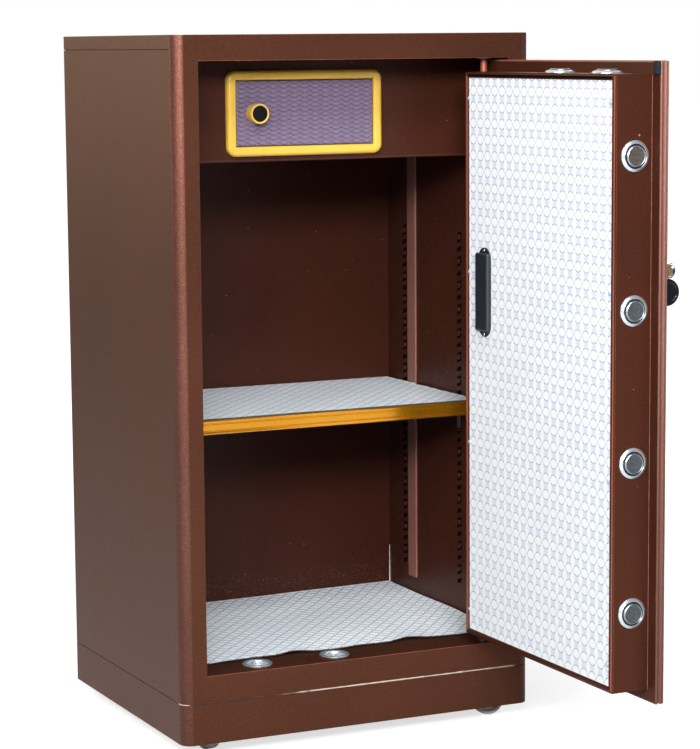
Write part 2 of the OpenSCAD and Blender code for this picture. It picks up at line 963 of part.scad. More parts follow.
module wheel_section() {
    reach = wheel_d / 2 - axle_d / 2 - fit_gap;
    hub = wheel_hub_r - axle_d / 2 - fit_gap;
    half = wheel_w / 2;
    web = half - wheel_web_in;
    tread = half - wheel_tread_in;
    polygon([[0, -half], [hub - wheel_hub_edge, -half], [hub, -web], [reach - wheel_tread_h, -web],
        [reach - wheel_shoulder_h, -tread], [reach - wheel_edge, -tread], [reach, -web], [reach, web],
        [reach - wheel_edge, tread], [reach - wheel_shoulder_h, tread], [reach - wheel_tread_h, web],
        [hub, web], [hub - wheel_hub_edge, half], [0, half]]);
}

module caster_fork_front_right() { at_caster(0) caster_fork(); }
module caster_fork_front_left() { at_caster(1) caster_fork(); }
module caster_fork_back_right() { at_caster(2) caster_fork(); }
module caster_fork_back_left() { at_caster(3) caster_fork(); }
module caster_wheel_front_right() { at_caster(0) caster_wheel(); }
module caster_wheel_front_left() { at_caster(1) caster_wheel(); }
module caster_wheel_back_right() { at_caster(2) caster_wheel(); }
module caster_wheel_back_left() { at_caster(3) caster_wheel(); }

// Holes that the spindle and the key cylinder pass through
module lock_holes(y) {
    translate([spindle_u, 0, handle_z])
        rod_y(spindle_d + 2 * fit_gap, y);
    translate([cylinder_u, 0, key_z])
        rod_y(cylinder_d + 2 * fit_gap, y);
}

module door_skin() {
    color(brown)
        on_door()
            difference() {
                translate([0, 0, plate_low])
                    linear_extrude(plate_top - plate_low)
                        rounded_plan([plate_near, plate_far], [plate_rear, plate_out],
                            [plate_edge_r, plate_edge_r, plate_edge_r, plate_swing_r]);
                slab([plate_near + sheet_t, plate_far - sheet_t], [plate_rear - through, plate_out - sheet_t],
                    [plate_low + sheet_t, plate_top - sheet_t]);
                lock_holes([plate_rear - through, plate_out + through]);
            }
}

module door_rear_sheet() {
    color(brown)
        on_door()
            difference() {
                slab([plate_near + sheet_t, plate_far - sheet_t], [plate_rear, plate_rear + case_t],
                    [plate_low + sheet_t, plate_top - sheet_t]);
                lock_holes([plate_rear - through, plate_out]);
            }
}

module door_fire_board() {
    color(cement)
        on_door()
            difference() {
                slab([plate_near + sheet_t, plate_far - sheet_t], [plate_rear + case_t, plate_out - sheet_t],
                    [plate_low + sheet_t, plate_top - sheet_t]);
                lock_holes([plate_rear, plate_out]);
            }
}

module case_tile(inset, end_inset, y) {
    slab([case_near + inset, case_far - inset], y, [case_low + end_inset, case_top - end_inset]);
}

module door_case() {
    ledge_y = case_in + liner_in;
    color(brown)
        on_door()
            difference() {
                case_tile(0, 0, [case_in, plate_rear]);
                case_tile(case_t, case_t, [ledge_y + case_t, plate_rear + through]);
                difference() {
                    case_tile(case_t, case_t, [case_in + case_t, ledge_y + case_t + through]);
                    case_tile(lip_w - case_t, lip_end_w - case_t, [case_in, ledge_y + case_t + 2 * through]);
                }
                case_tile(lip_w, lip_end_w, [case_in - through, ledge_y]);
                case_tile(lip_w + ledge_w, lip_end_w + ledge_w, [case_in - through, plate_rear]);
                for (i = [0:bolt_count - 1])
                    translate([case_far - case_t - through, bolt_y, sill_z + bolt_first + i * bolt_pitch])
                        rotate([0, 90, 0])
                            cylinder(d = sleeve_d, h = case_t + 2 * through);
                for (u = end_bolts)
                    for (z = [case_low - through, case_top - case_t - through])
                        translate([u, bolt_y, z])
                            cylinder(d = sleeve_d, h = case_t + 2 * through);
            }
}

module door_liner() {
    color(pattern_white)
        on_door()
            slab([liner_near, liner_far], [liner_face, case_in + liner_in], [liner_low, liner_top]);
}

module liner_clips() {
    step = (liner_top - liner_low - 2 * clip_inset) / (clip_rows - 1);
    head_y = liner_face - clip_head_t;
    color(steel)
        on_door()
            for (u = [liner_near + clip_edge, liner_far - clip_edge])
                for (i = [0:clip_rows - 1])
                    translate([u, 0, liner_low + clip_inset + i * step]) {
                        rod_y(clip_head_d, [head_y, liner_face]);
                        rod_y(clip_boss_d, [head_y - clip_boss_t, head_y + touch]);
                    }
}

module battery_base() {
    mid = battery_l / 2 + battery_end - battery_w / 2;
    color(black)
        on_door()
            translate([battery_u, liner_face, battery_z])
                rotate([90, 0, 0])
                    linear_extrude(battery_base_t) {
                        square([battery_w, 2 * mid], center = true);
                        for (s = [-1, 1])
                            translate([0, s * mid])
                                circle(d = battery_w);
                    }
}

module battery_cover() {
    half = battery_l / 2;
    color(black)
        on_door()
            translate([battery_u, liner_face - battery_base_t, battery_z])
                rotate([90, 0, 0])
                    linear_extrude(battery_t)
                        rounded_plan([-battery_w / 2, battery_w / 2], [-half, half],
                            [battery_corner_r, battery_corner_r, battery_corner_r, battery_corner_r]);
}

// Bevelled chrome ring round a bolt, standing on the case's wall
module bolt_flange() {
    bore = bolt_d / 2 + fit_gap;
    rotate_extrude()
        polygon([[bore, -sleeve_in], [sleeve_d / 2, -sleeve_in], [sleeve_d / 2, 0], [flange_d / 2, 0],
            [flange_d / 2, flange_foot], [bore + flange_rim, flange_t], [bore, flange_t]]);
}

module at_side_bolts() {
    for (i = [0:bolt_count - 1])
        translate([case_far, bolt_y, sill_z + bolt_first + i * bolt_pitch])
            rotate([0, 90, 0])
                children();
}

module bolt_flanges() {
    color(chrome)
        on_door() {
            at_side_bolts()
                bolt_flange();
            for (u = end_bolts) {
                translate([u, bolt_y, case_top])
                    bolt_flange();
                translate([u, bolt_y, case_low])
                    mirror([0, 0, 1])
                        bolt_flange();
            }
        }
}

// Bolt whose outer face lies at the height out above the case's wall
module bolt(l) {
    r = bolt_d / 2;
    translate([0, 0, bolt_rest - l])
        rotate_extrude()
            polygon([[0, 0], [r, 0], [r, l - bolt_bevel], [r - bolt_bevel, l], [0, l]]);
}

module side_bolts() {
    color(chrome)
        on_door()
            at_side_bolts()
                bolt(side_bolt_l);
}

module side_bolt_bar() {
    low = sill_z + bolt_first - bar_w / 2;
    high = sill_z + bolt_first + (bolt_count - 1) * bolt_pitch + bar_w / 2;
    arm_y = cam_near_y - cam_disc_t - slip_gap;
    color(steel)
        on_door() {
            slab([side_bar_far - bar_t, side_bar_far], [bolt_y - bar_w / 2, bolt_y + bar_w / 2], [low, high]);
            translate([spindle_u, 0, handle_z])
                difference() {
                    slab([-pin_lag - link_edge, side_bar_far - bar_t - spindle_u], [arm_y - link_t, arm_y],
                        [-crank_r - link_edge, link_edge - pin_up_u]);
                    slab([-pin_lag - slot_half, -pin_lag + slot_half],
                        [arm_y - link_t - through, arm_y + through],
                        [-crank_r - slot_half, -pin_up_u + slot_half]);
                }
        }
}

module top_bolts() {
    color(chrome)
        on_door()
            for (u = end_bolts)
                translate([u, bolt_y, case_top])
                    bolt(bolt_l);
}

module bottom_bolts() {
    color(chrome)
        on_door()
            for (u = end_bolts)
                translate([u, bolt_y, case_low])
                    mirror([0, 0, 1])
                        bolt(bolt_l);
}

// Cross bar with its link down to the cam, for the top bolts when side is 1
// and turned over for the bottom bolts when side is -1
module end_bar(side, bar_z) {
    link_y = cam_near_y + slip_gap;
    reach = side * (bar_z - handle_z);
    half = bar_w / 2;
    color(steel) {
        translate([0, 0, bar_z])
            slab([end_bolts[0] - half, end_bolts[1] + half], [bolt_y - half, bolt_y + half],
                [min(0, side * bar_t), max(0, side * bar_t)]);
        translate([spindle_u, 0, handle_z])
            rotate([0, side > 0 ? 0 : 180, 0])
                difference() {
                    slab([pin_up_u - link_edge, crank_r + link_edge], [link_y, link_y + link_t],
                        [-pin_lag - link_edge, reach]);
                    slab([pin_up_u - slot_half, crank_r + slot_half],
                        [link_y - through, link_y + link_t + through],
                        [-pin_lag - slot_half, -pin_lag + slot_half]);
                }
    }
}

module top_bolt_bar() {
    on_door()
        end_bar(1, case_top - end_bar_in);
}

module bottom_bolt_bar() {
    on_door()
        end_bar(-1, case_low + end_bar_in);
}

module hinge_bracket() {
    linear_extrude(bracket_t) {
        circle(bracket_r);
        translate([-bracket_r, 0])
            square([bracket_r + case_near, plate_rear]);
    }
}

module hinge_brackets() {
    color(brown)
        on_door() {
            translate([0, 0, case_low])
                hinge_bracket();
            translate([0, 0, case_top - bracket_t])
                hinge_bracket();
        }
}

module hinge_pins() {
    lower_end = sill_z - pin_deep + bush_floor + rest_gap;
    upper_end = head_z + pin_deep - bush_floor - slip_gap;
    color(chrome)
        translate([hinge_x, hinge_y, 0]) {
            translate([0, 0, lower_end])
                cylinder(d = lower_pin_d, h = case_low - lower_end);
            translate([0, 0, case_top])
                cylinder(d = upper_pin_d, h = upper_end - case_top);
        }
}

module lock_panel() {
    color(black)
        on_door()
            difference() {
                door_tile([panel_u - panel_w / 2, panel_u + panel_w / 2], [plate_out, panel_y],
                    [panel_mid_z - panel_h / 2, panel_mid_z + panel_h / 2], panel_r);
                lock_holes([plate_out - through, panel_y + through]);
            }
}

module keypad() {
    color(black)
        on_door()
            door_tile([panel_u - keypad_w / 2, panel_u + keypad_w / 2], [panel_y, panel_y + keypad_t],
                [handle_z + keypad_up - keypad_h / 2, handle_z + keypad_up + keypad_h / 2], keypad_r);
}

// Box for the lock's electronics and its blocking pin, open towards the plate
module lock_case() {
    half = lock_case_w / 2;
    hollow = half - case_t;
    low = handle_z + lock_case_up;
    color(black)
        on_door()
            difference() {
                slab([spindle_u - half, spindle_u + half], [lock_case_in, plate_rear],
                    [low, low + lock_case_h]);
                slab([spindle_u - hollow, spindle_u + hollow], [lock_case_in + case_t, plate_rear + through],
                    [low + case_t, low + lock_case_h - case_t]);
            }
}

module key_cylinder() {
    face = panel_y + cylinder_flange_t;
    color(chrome)
        on_door()
            translate([cylinder_u, 0, key_z])
                difference() {
                    union() {
                        rod_y(cylinder_d, [cylinder_inner, panel_y]);
                        rod_y(cylinder_flange_d, [panel_y, face]);
                    }
                    rod_y(plug_d + 2 * fit_gap, [cylinder_inner - through, face + through]);
                }
}

module key_plug() {
    color(amber)
        on_door()
            translate([cylinder_u, 0, key_z])
                rod_y(plug_d, [cylinder_inner, panel_y + cylinder_flange_t]);
}

module key() {
    face = panel_y + cylinder_flange_t;
    bow_y = face + slip_gap + bow_r;
    color(black)
        on_door()
            translate([cylinder_u, 0, key_z]) {
                slab([-blade_t / 2, blade_t / 2], [face, bow_y], [-blade_w / 2, blade_w / 2]);
                translate([0, bow_y, 0])
                    rotate([0, 90, 0])
                        rotate_extrude()
                            bow_section();
            }
}

// Half of the key's bow, cut through its axis: thick at the rim and dished inside
module bow_section() {
    rim = bow_r - bow_rim;
    half = bow_t / 2;
    polygon([[0, bow_dish - half], [rim - bow_edge, bow_dish - half], [rim, -half],
        [bow_r - bow_edge, -half], [bow_r, bow_edge - half], [bow_r, half - bow_edge],
        [bow_r - bow_edge, half], [rim, half], [rim - bow_edge, half - bow_dish], [0, half - bow_dish]]);
}

module spindle() {
    color(steel)
        on_door()
            translate([spindle_u, 0, handle_z])
                rod_y(spindle_d, [cam_near_y, hub_y]);
}

module handle_lever() {
    half = lever_h / 2;
    color(amber)
        on_door()
            translate([spindle_u, 0, handle_z]) {
                rod_y(hub_d, [hub_y, hub_y + hub_t]);
                door_tile([0, lever_l], [lever_y, lever_y + lever_t], [-half, half], half - touch);
            }
}

module drive_pin(angle, y) {
    rotate([0, -angle, 0])
        translate([crank_r, 0, 0])
            rod_y(drive_pin_d, y);
}

module cam_disc() {
    lag = throw_angle / 2;
    far = cam_near_y - cam_disc_t;
    pin_l = link_t + slip_gap;
    color(steel)
        on_door()
            translate([spindle_u, 0, handle_z]) {
                rod_y(2 * cam_r, [far, cam_near_y]);
                drive_pin(-lag, [cam_near_y - touch, cam_near_y + pin_l]);
                drive_pin(180 - lag, [cam_near_y - touch, cam_near_y + pin_l]);
                drive_pin(-90 - lag, [far - pin_l, far + touch]);
            }
}

front_frame();
body_wrap();
top_cover();
plinth();
base_plate();
fire_filling();
inner_side_left();
inner_side_right();
inner_back();
inner_floor();
wall_strips();
shelf_clips();
shelf();
shelf_trim();
shelf_mat();
floor_mat();
bolt_cups();
hinge_bushes();
locker_front();
locker_floor();
locker_frame();
caster_plates();
door_skin();
door_fire_board();
door_rear_sheet();
door_case();
door_liner();
liner_clips();
battery_base();
battery_cover();
bolt_flanges();
hinge_brackets();
hinge_pins();
lock_panel();
keypad();
key_cylinder();
lock_case();
spindle();
handle_lever();
cam_disc();
key_plug();
key();
side_bolts();
side_bolt_bar();
top_bolts();
top_bolt_bar();
bottom_bolts();
bottom_bolt_bar();
locker_panel();
locker_collar();
locker_knob();
locker_cam();
caster_fork_front_right();
caster_fork_front_left();
caster_fork_back_right();
caster_fork_back_left();
caster_wheel_front_right();
caster_wheel_front_left();
caster_wheel_back_right();
caster_wheel_back_left();
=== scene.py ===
"""Looks of an open fireproof safe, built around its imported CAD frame.

Lengths are in mm. Those of the camera, the lamps, the studio and the mats' flat sizes are in metres.
"""

import json
import math

import bmesh
import bpy
from mathutils import Matrix, Vector, noise

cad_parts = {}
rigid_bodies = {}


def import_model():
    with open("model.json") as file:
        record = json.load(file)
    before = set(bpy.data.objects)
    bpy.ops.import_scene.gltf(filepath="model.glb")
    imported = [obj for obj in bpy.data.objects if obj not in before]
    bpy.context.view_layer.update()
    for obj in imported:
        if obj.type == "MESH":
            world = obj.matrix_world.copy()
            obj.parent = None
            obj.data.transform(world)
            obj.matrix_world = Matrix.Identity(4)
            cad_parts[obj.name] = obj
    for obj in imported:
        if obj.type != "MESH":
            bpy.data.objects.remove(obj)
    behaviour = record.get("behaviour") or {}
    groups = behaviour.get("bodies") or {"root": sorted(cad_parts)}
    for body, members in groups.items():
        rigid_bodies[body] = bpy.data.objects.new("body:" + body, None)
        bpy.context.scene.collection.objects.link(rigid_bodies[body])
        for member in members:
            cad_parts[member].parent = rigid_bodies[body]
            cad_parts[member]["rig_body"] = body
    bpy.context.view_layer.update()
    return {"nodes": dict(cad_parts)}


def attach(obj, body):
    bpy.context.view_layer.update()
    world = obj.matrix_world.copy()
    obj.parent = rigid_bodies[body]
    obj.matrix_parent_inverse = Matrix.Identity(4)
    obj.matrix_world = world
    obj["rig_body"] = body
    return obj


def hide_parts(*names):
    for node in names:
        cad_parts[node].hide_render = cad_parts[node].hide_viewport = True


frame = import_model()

MM = 0.001
scene = bpy.context.scene


def add_object(name, data):
    obj = bpy.data.objects.new(name, data)
    scene.collection.objects.link(obj)
    return obj


# ---- Camera, fitted to the edges in the photograph

IMAGE_W, IMAGE_H = 700, 749
FOCAL_PX = 2566.811
CENTRE_PX = (327.919, 393.645)
CAMERA_AT = (-1.590393, -3.512874, 1.009409)
YAW, PITCH, ROLL = 25.094, -7.785, -0.494
SENSOR_W = 36.0

camera_data = bpy.data.cameras.new("camera")
camera_data.sensor_width = SENSOR_W
camera_data.lens = FOCAL_PX * SENSOR_W / IMAGE_H
camera_data.shift_x = (IMAGE_W / 2 - CENTRE_PX[0]) / IMAGE_H
camera_data.shift_y = (CENTRE_PX[1] - IMAGE_H / 2) / IMAGE_H
turn = (
    Matrix.Rotation(math.radians(-YAW), 4, "Z")
    @ Matrix.Rotation(math.radians(90 + PITCH), 4, "X")
    @ Matrix.Rotation(math.radians(ROLL), 4, "Z")
)
camera = add_object("camera", camera_data)
camera.matrix_world = Matrix.Translation(CAMERA_AT) @ turn
scene.camera = camera
scene.view_settings.view_transform = "Standard"


# ---- Node helpers


def srgb(red, green, blue):
    """A 0-255 colour as the linear numbers that a shader takes."""
    return tuple(
        c / 12.92 if c <= 0.04045 else ((c + 0.055) / 1.055) ** 2.4
        for c in (red / 255, green / 255, blue / 255)
    )


def feed(tree, value, socket):
    """Links a Value or a socket to that socket, or sets it to a number, a vector or a colour."""
    if isinstance(value, Value):
        value = value.socket
    if isinstance(value, bpy.types.NodeSocket):
        tree.links.new(value, socket)
    elif isinstance(value, tuple) and len(value) < len(socket.default_value):
        socket.default_value = (*value, 1.0)
    else:
        socket.default_value = value


def add_node(tree, kind, inputs=None, **settings):
    """Adds a node of that kind and returns its outputs. inputs go by name or by number."""
    node = tree.nodes.new("ShaderNode" + kind)
    for key, value in settings.items():
        setattr(node, key, value)
    for key, value in (inputs or {}).items():
        feed(tree, value, node.inputs[key])
    return node.outputs


class Value:
    """A number in a node tree that takes ordinary arithmetic."""

    def __init__(self, tree, socket):
        self.tree, self.socket = tree, socket

    def math(self, operation, *others):
        inputs = dict(enumerate((self, *others)))
        return Value(self.tree, add_node(self.tree, "Math", inputs, operation=operation)[0])

    def __add__(self, other):
        return self.math("ADD", other)

    def __sub__(self, other):
        return self.math("SUBTRACT", other)

    def __mul__(self, other):
        return self.math("MULTIPLY", other)

    def __truediv__(self, other):
        return self.math("DIVIDE", other)

    __radd__ = __add__

    def opposite(self):
        """One minus this."""
        return self.math("MULTIPLY_ADD", -1.0, 1.0)

    def abs(self):
        return self.math("ABSOLUTE")

    def most(self, other):
        return self.math("MAXIMUM", other)

    def least(self, other):
        return self.math("MINIMUM", other)

    def ramp(self, low, high):
        """0 at low and 1 at high, smoothly between; low may be the larger one."""
        inputs = {"Value": self, "From Min": low, "From Max": high}
        return Value(self.tree, add_node(self.tree, "MapRange", inputs, interpolation_type="SMOOTHSTEP")[0])

    def lattice(self, pitch, start):
        """The signed distance to the nearest of the lines start + k * pitch."""
        whole = ((self - start) / pitch).math("ROUND")
        return self - start - whole * pitch


class Finish:
    """One material with its shader, and short ways to the usual nodes."""

    def __init__(self, name, **sockets):
        self.material = bpy.data.materials.new(name)
        self.material.use_nodes = True
        self.tree = self.material.node_tree
        self.shader = self.tree.nodes["Principled BSDF"]
        for key, value in sockets.items():
            socket = key.replace("_", " ").title().replace("Ior", "IOR")
            self.shader.inputs[socket].default_value = value
        self.point = self.times(add_node(self.tree, "TexCoord")["Object"], (1 / MM,) * 3)
        parts = add_node(self.tree, "SeparateXYZ", {0: self.point})
        self.x, self.y, self.z = (Value(self.tree, part) for part in parts)

    def times(self, first, second):
        return add_node(self.tree, "VectorMath", {0: first, 1: second}, operation="MULTIPLY")[0]

    def noise(self, size, detail=2.0, stretch=(1, 1, 1), rough=0.5):
        inputs = {"Vector": self.times(self.point, stretch), "Scale": 1 / size, "Detail": detail}
        return Value(self.tree, add_node(self.tree, "TexNoise", {**inputs, "Roughness": rough})[0])

    def cells(self, size):
        """(distance to the nearest cell point, that cell's own random number)."""
        made = add_node(self.tree, "TexVoronoi", {"Vector": self.point, "Scale": 1 / size})
        chance = add_node(self.tree, "SeparateColor", {0: made["Color"]})[0]
        return Value(self.tree, made["Distance"]) * size, Value(self.tree, chance)

    def specks(self, size, radius, share):
        """Round specks, in that share of the cells."""
        distance, chance = self.cells(size)
        return distance.ramp(radius * 1.3, radius * 0.6) * chance.ramp(share + 0.01, share - 0.01)

    def mix(self, amount, first, second):
        return add_node(self.tree, "Mix", {0: amount, 6: first, 7: second}, data_type="RGBA")[2]

    def scaled(self, colour, amount):
        return add_node(self.tree, "VectorMath", {0: colour, "Scale": amount}, operation="SCALE")[0]

    def colour(self, value):
        feed(self.tree, value, self.shader.inputs["Base Color"])

    def rough(self, value):
        feed(self.tree, value, self.shader.inputs["Roughness"])

    def bump(self, height, depth):
        """Bumps of that depth where height goes from 0 to 1."""
        bumps = add_node(self.tree, "Bump", {"Height": height, "Distance": depth * MM})[0]
        feed(self.tree, bumps, self.shader.inputs["Normal"])
        return self


# ---- Materials

BARE = (200, 165, 150)  # specks in the paint, and dust on it
TOP_LIGHT_Z = (100, 1000)  # where the painted light from above, which brightens a paint upwards, starts and ends
DUST_Z = (180, 150)  # dust has settled below these heights


def paint(
    name, colour, rough=0.40, metallic=0.30, coat=0.0, fleck=0.42, specks=0.0, gloss=0.12, top_light=0.0, dust=0.0
):
    """Sprayed metallic paint with a fine orange-peel grain and flakes.

    specks and dust are shares of their cells, and top_light is how much the tone gains from bottom to top:
    painted light from above.
    """
    made = Finish(name, metallic=metallic, coat_weight=coat, coat_roughness=0.2, specular_ior_level=gloss)
    cloud = made.noise(150, 3)
    grain = made.noise(1.7, 3, rough=0.75)
    _, flake = made.cells(1.3)
    tone = 0.85 + cloud * 0.28 + (grain - 0.5) * fleck * 2.0 + flake.ramp(0.84, 1.0) * fleck * 0.6
    # painted light from above: the tone gains upwards
    if top_light:
        tone = tone * (made.z.ramp(*TOP_LIGHT_Z) * top_light + (1 - top_light / 2))
    shade = made.scaled(srgb(*colour), tone)
    if specks:
        shade = made.mix(made.specks(34, 0.9, specks), shade, srgb(*BARE))
    if dust:
        shade = made.mix(made.specks(13, 0.75, dust) * 0.7, shade, srgb(*BARE))
        settled = made.specks(2.6, 0.55, 0.6) * made.z.ramp(*DUST_Z)
        shade = made.mix(settled * 0.26, shade, srgb(*BARE))
    made.colour(shade)
    made.rough(rough + (cloud - 0.5) * 0.10 + (flake - 0.5) * 0.10)
    return made.bump(made.noise(2.4, 2) * 0.7 + flake * 0.3, 0.20)


def chrome(name, colour, rough, dents=0.004, stain=0.0, metallic=1.0, mottle=9, dark=0.62):
    """Bright metal with stains of size mottle, which take the colour down to dark times itself."""
    made = Finish(name, metallic=metallic)
    cloud = made.noise(mottle, 4)
    stains = cloud.ramp(0.45, 0.75) * (0.15 + stain)
    made.colour(made.mix(stains, srgb(*colour), srgb(*(c * dark for c in colour))))
    made.rough(rough + cloud.ramp(0.4, 0.8) * 0.08)
    return made.bump(made.noise(1.1, 3), dents)


CANE_W, CANE_H, CANE_CREST = 21.1, 23.14, 7.3
HATCH = 1.25
SQUARE_IN, SQUARE_OUT = 4.9, 5.6  # half sizes where a square's ink is full, and where it ends
DOT_S, DOT_T = 5.4, 5.6


def cane(across, along, starts, line):
    """The common woven-cane print: (ink of hatched squares, ink of wavy outlines, dark dots)."""
    s, t = across.lattice(CANE_W, starts[0]), along.lattice(CANE_H, starts[1])
    sa, ta = s.abs(), t.abs()
    square = sa.ramp(SQUARE_OUT, SQUARE_IN) * ta.ramp(SQUARE_OUT, SQUARE_IN)
    hatch_s, hatch_t = (v.math("PINGPONG", HATCH).ramp(0.85, 0.35) for v in (s, t))
    to_row = ta * -1 + CANE_H / 2
    wave = (to_row - (s * (math.pi / CANE_W)).math("COSINE") * CANE_CREST).abs()
    from_dot = ((sa - DOT_S).math("POWER", 2.0) + (ta - DOT_T).math("POWER", 2.0)).math("SQRT")
    squares = square * (0.25 + hatch_s.most(hatch_t) * 0.75)
    return squares, wave.ramp(line * 1.5, line * 0.5), from_dot.ramp(1.6, 0.6)


def cane_sheet(name, axes, starts, ground, pale, dark, shares, line, rough, coat, emboss):
    """A smooth sheet with that print. shares is how strongly squares, outlines and dots are inked."""
    made = Finish(name, coat_weight=coat, coat_roughness=0.12, specular_ior_level=0.4)
    across, along = (getattr(made, axis) for axis in axes)
    squares, outlines, dots = cane(across, along, starts, line)
    cloud = made.noise(70, 3)
    shade = made.mix(cloud.ramp(0.35, 0.75) * 0.6, srgb(*ground), srgb(*(c - 7 for c in ground)))
    for mask, share, ink in zip((squares, outlines, dots), shares, (pale, dark, dark)):
        shade = made.mix(mask * share, shade, srgb(*ink))
    made.colour(shade)
    made.rough(rough + cloud * 0.08)
    height = outlines.opposite() * 0.5 + squares.opposite() * 0.3 + made.noise(0.9, 1) * 0.25
    return made.bump(height, emboss)


def mat_print(name, starts):
    return cane_sheet(
        name, "xy", starts, (240, 249, 255), (150, 160, 192), (62, 70, 98), (0.20, 0.95, 0.90),
        line=0.85, rough=0.36, coat=0.08, emboss=0.12,
    )


BODY_PAINT = paint("body_paint", (83, 49, 35), metallic=0.60, specks=0.006)
# a lighter, glossier copy of the body paint for the rounded front corners: a painted highlight
CORNER_HIGHLIGHT_PAINT = paint("corner_painted_highlight", (98, 62, 52), 0.36, metallic=0.70, coat=0.12, fleck=0.9, top_light=0.45)
# a copper copy of the body paint for the front frame's bevelled edges: painted highlight lines
EDGE_HIGHLIGHT_LINE = paint("edge_painted_highlight", (176, 102, 76), 0.34, metallic=0.55, fleck=0.4)
INNER_PAINT = paint(
    "inner_paint", (59, 29, 20), 0.32, metallic=0.06, fleck=0.5, specks=0.06, gloss=0.14, dust=0.16
)
DOOR_PAINT = paint("door_paint", (78, 42, 29), metallic=0.50, specks=0.008)
# a lighter copy of the door paint: a painted highlight on the case's lip beads, and the copper of the hinge
# pins' painted part
BEAD_HIGHLIGHT_AND_PIN_PAINT = paint("bead_highlight_and_pin_paint", (166, 95, 76), 0.34, metallic=0.45, fleck=0.4)
# a lighter copy of the door paint for the plate's folded edge: a painted highlight, lighter still towards the
# top
PLATE_EDGE_HIGHLIGHT_PAINT = paint("plate_edge_painted_highlight", (123, 84, 75), 0.36, metallic=0.45, fleck=0.4, top_light=0.6)
FOLD_PAINT = paint("fold_paint", (66, 38, 30), 0.38, metallic=0.1)
# a much lighter copy of the inner paint: a painted highlight on the wall strips, and the pale colour of the
# case's weld bead and its drops
STRIP_HIGHLIGHT_AND_WELD_PAINT = paint("strip_highlight_and_weld_paint", (138, 94, 84), 0.38, metallic=0.25)
LINER_BOARD = cane_sheet(
    "patterned_board", "yz", (-604.5, 164.6), (229, 235, 240), (176, 176, 206), (112, 118, 142),
    (0.55, 0.60, 0.75), line=0.60, rough=0.60, coat=0.0, emboss=0.05,
)
MAT_FLOOR = mat_print("patterned_mat", (6.0, -150.0))
MAT_SHELF = mat_print("shelf_mat_print", (2.0, -95.0))
CHROME = chrome("chrome", (208, 216, 222), 0.16)
BRIGHT = chrome("bright_steel", (148, 154, 161), 0.33)
FLANGE_CHROME = chrome("flange_chrome", (202, 213, 222), 0.24, metallic=0.80)
CUP_STEEL = chrome(
    "cup_steel", (176, 186, 196), 0.34, dents=0.304, stain=1.0, metallic=0.60, mottle=3.8, dark=0.10
)
ZINC = chrome("zinc_steel", (170, 174, 180), 0.34, stain=0.2)
GOLD = chrome("gold_metal", (214, 168, 104), 0.20)

# sawn bolt ends: dark stains on a face with a painted reflection, warmer on the uppermost bolts and cooler
# below
BOLT_END = Finish("bolt_end", metallic=0.5)
end_cloud = BOLT_END.noise(5, 4)
reflected_end_colour = BOLT_END.mix(BOLT_END.z.ramp(820, 860), srgb(84, 90, 97), srgb(94, 85, 79))
BOLT_END.colour(BOLT_END.mix(end_cloud.ramp(0.35, 0.7) * 0.45, reflected_end_colour, srgb(40, 40, 42)))
BOLT_END.rough(0.42 + end_cloud * 0.2)
BOLT_END.bump(BOLT_END.noise(0.5, 2), 0.05)


def plastic(name, colour, rough, grain=0.03, metallic=0.0, coat=0.0, spread=0.2, gloss=0.5):
    """Plain plastic whose tone varies by spread, with a grain of that depth."""
    made = Finish(name, metallic=metallic, coat_weight=coat, coat_roughness=0.10, specular_ior_level=gloss)
    cloud = made.noise(25, 3)
    made.colour(made.scaled(srgb(*colour), 1 - spread / 2 + cloud * spread))
    made.rough(rough + (cloud - 0.5) * 0.12)
    return made.bump(made.noise(0.7, 2), grain)


YELLOW = plastic("yellow_frame", (213, 170, 64), 0.34, coat=0.25, spread=0.10)
AMBER = plastic("amber_trim", (228, 158, 30), 0.20, grain=0.01, metallic=0.85, coat=0.4, spread=0.12)
BLACK = plastic("black_plastic", (26, 32, 40), 0.42, grain=0.05, spread=0.3)
KNOB_BLACK = plastic("knob_black", (9, 11, 16), 0.50, grain=0.02, spread=0.3, gloss=0.12)
KEY_BLACK = plastic("key_black", (9, 11, 17), 0.16, grain=0.01, coat=0.6, spread=0.3)
INLAY = plastic("lever_inlay", (150, 126, 92), 0.34, metallic=0.6)
GLASS = plastic("keypad_glass", (14, 16, 20), 0.10, grain=0.004, coat=0.8, spread=0.15)
NYLON = plastic("nylon", (222, 222, 216), 0.42)
MARKS = plastic("keypad_marks", (226, 230, 236), 0.4)
RUBBER = plastic("rubber_buffer", (22, 27, 35), 0.62, grain=0.08, gloss=0.2)
CLIP_BLUE = plastic("clip_plastic", (158, 186, 206), 0.36)
# dark grey for the mats' rim and underside: their backing, and painted shade along the cut edges
BACKING_AND_EDGE_SHADE = plastic("mat_backing_and_edge_shade", (62, 58, 54), 0.7, grain=0.05)
# near black: painted shade in the slots and along the top of the liner
SHADE_BLACK = plastic("painted_shade_black", (5, 4, 4), 0.9, grain=0.02, gloss=0.05)
PALE_CAULK = plastic("pale_caulk", (196, 188, 180), 0.8, grain=0.1)

CEMENT = Finish("fire_cement")
cement_cloud = CEMENT.noise(22, 5)
pits, _ = CEMENT.cells(6)
CEMENT.colour(CEMENT.scaled(srgb(168, 162, 152), 0.8 + cement_cloud * 0.35))
CEMENT.rough(0.85 + (cement_cloud - 0.5) * 0.1)
CEMENT.bump(cement_cloud * 0.6 + pits.ramp(0, 3) * 0.4, 0.6)

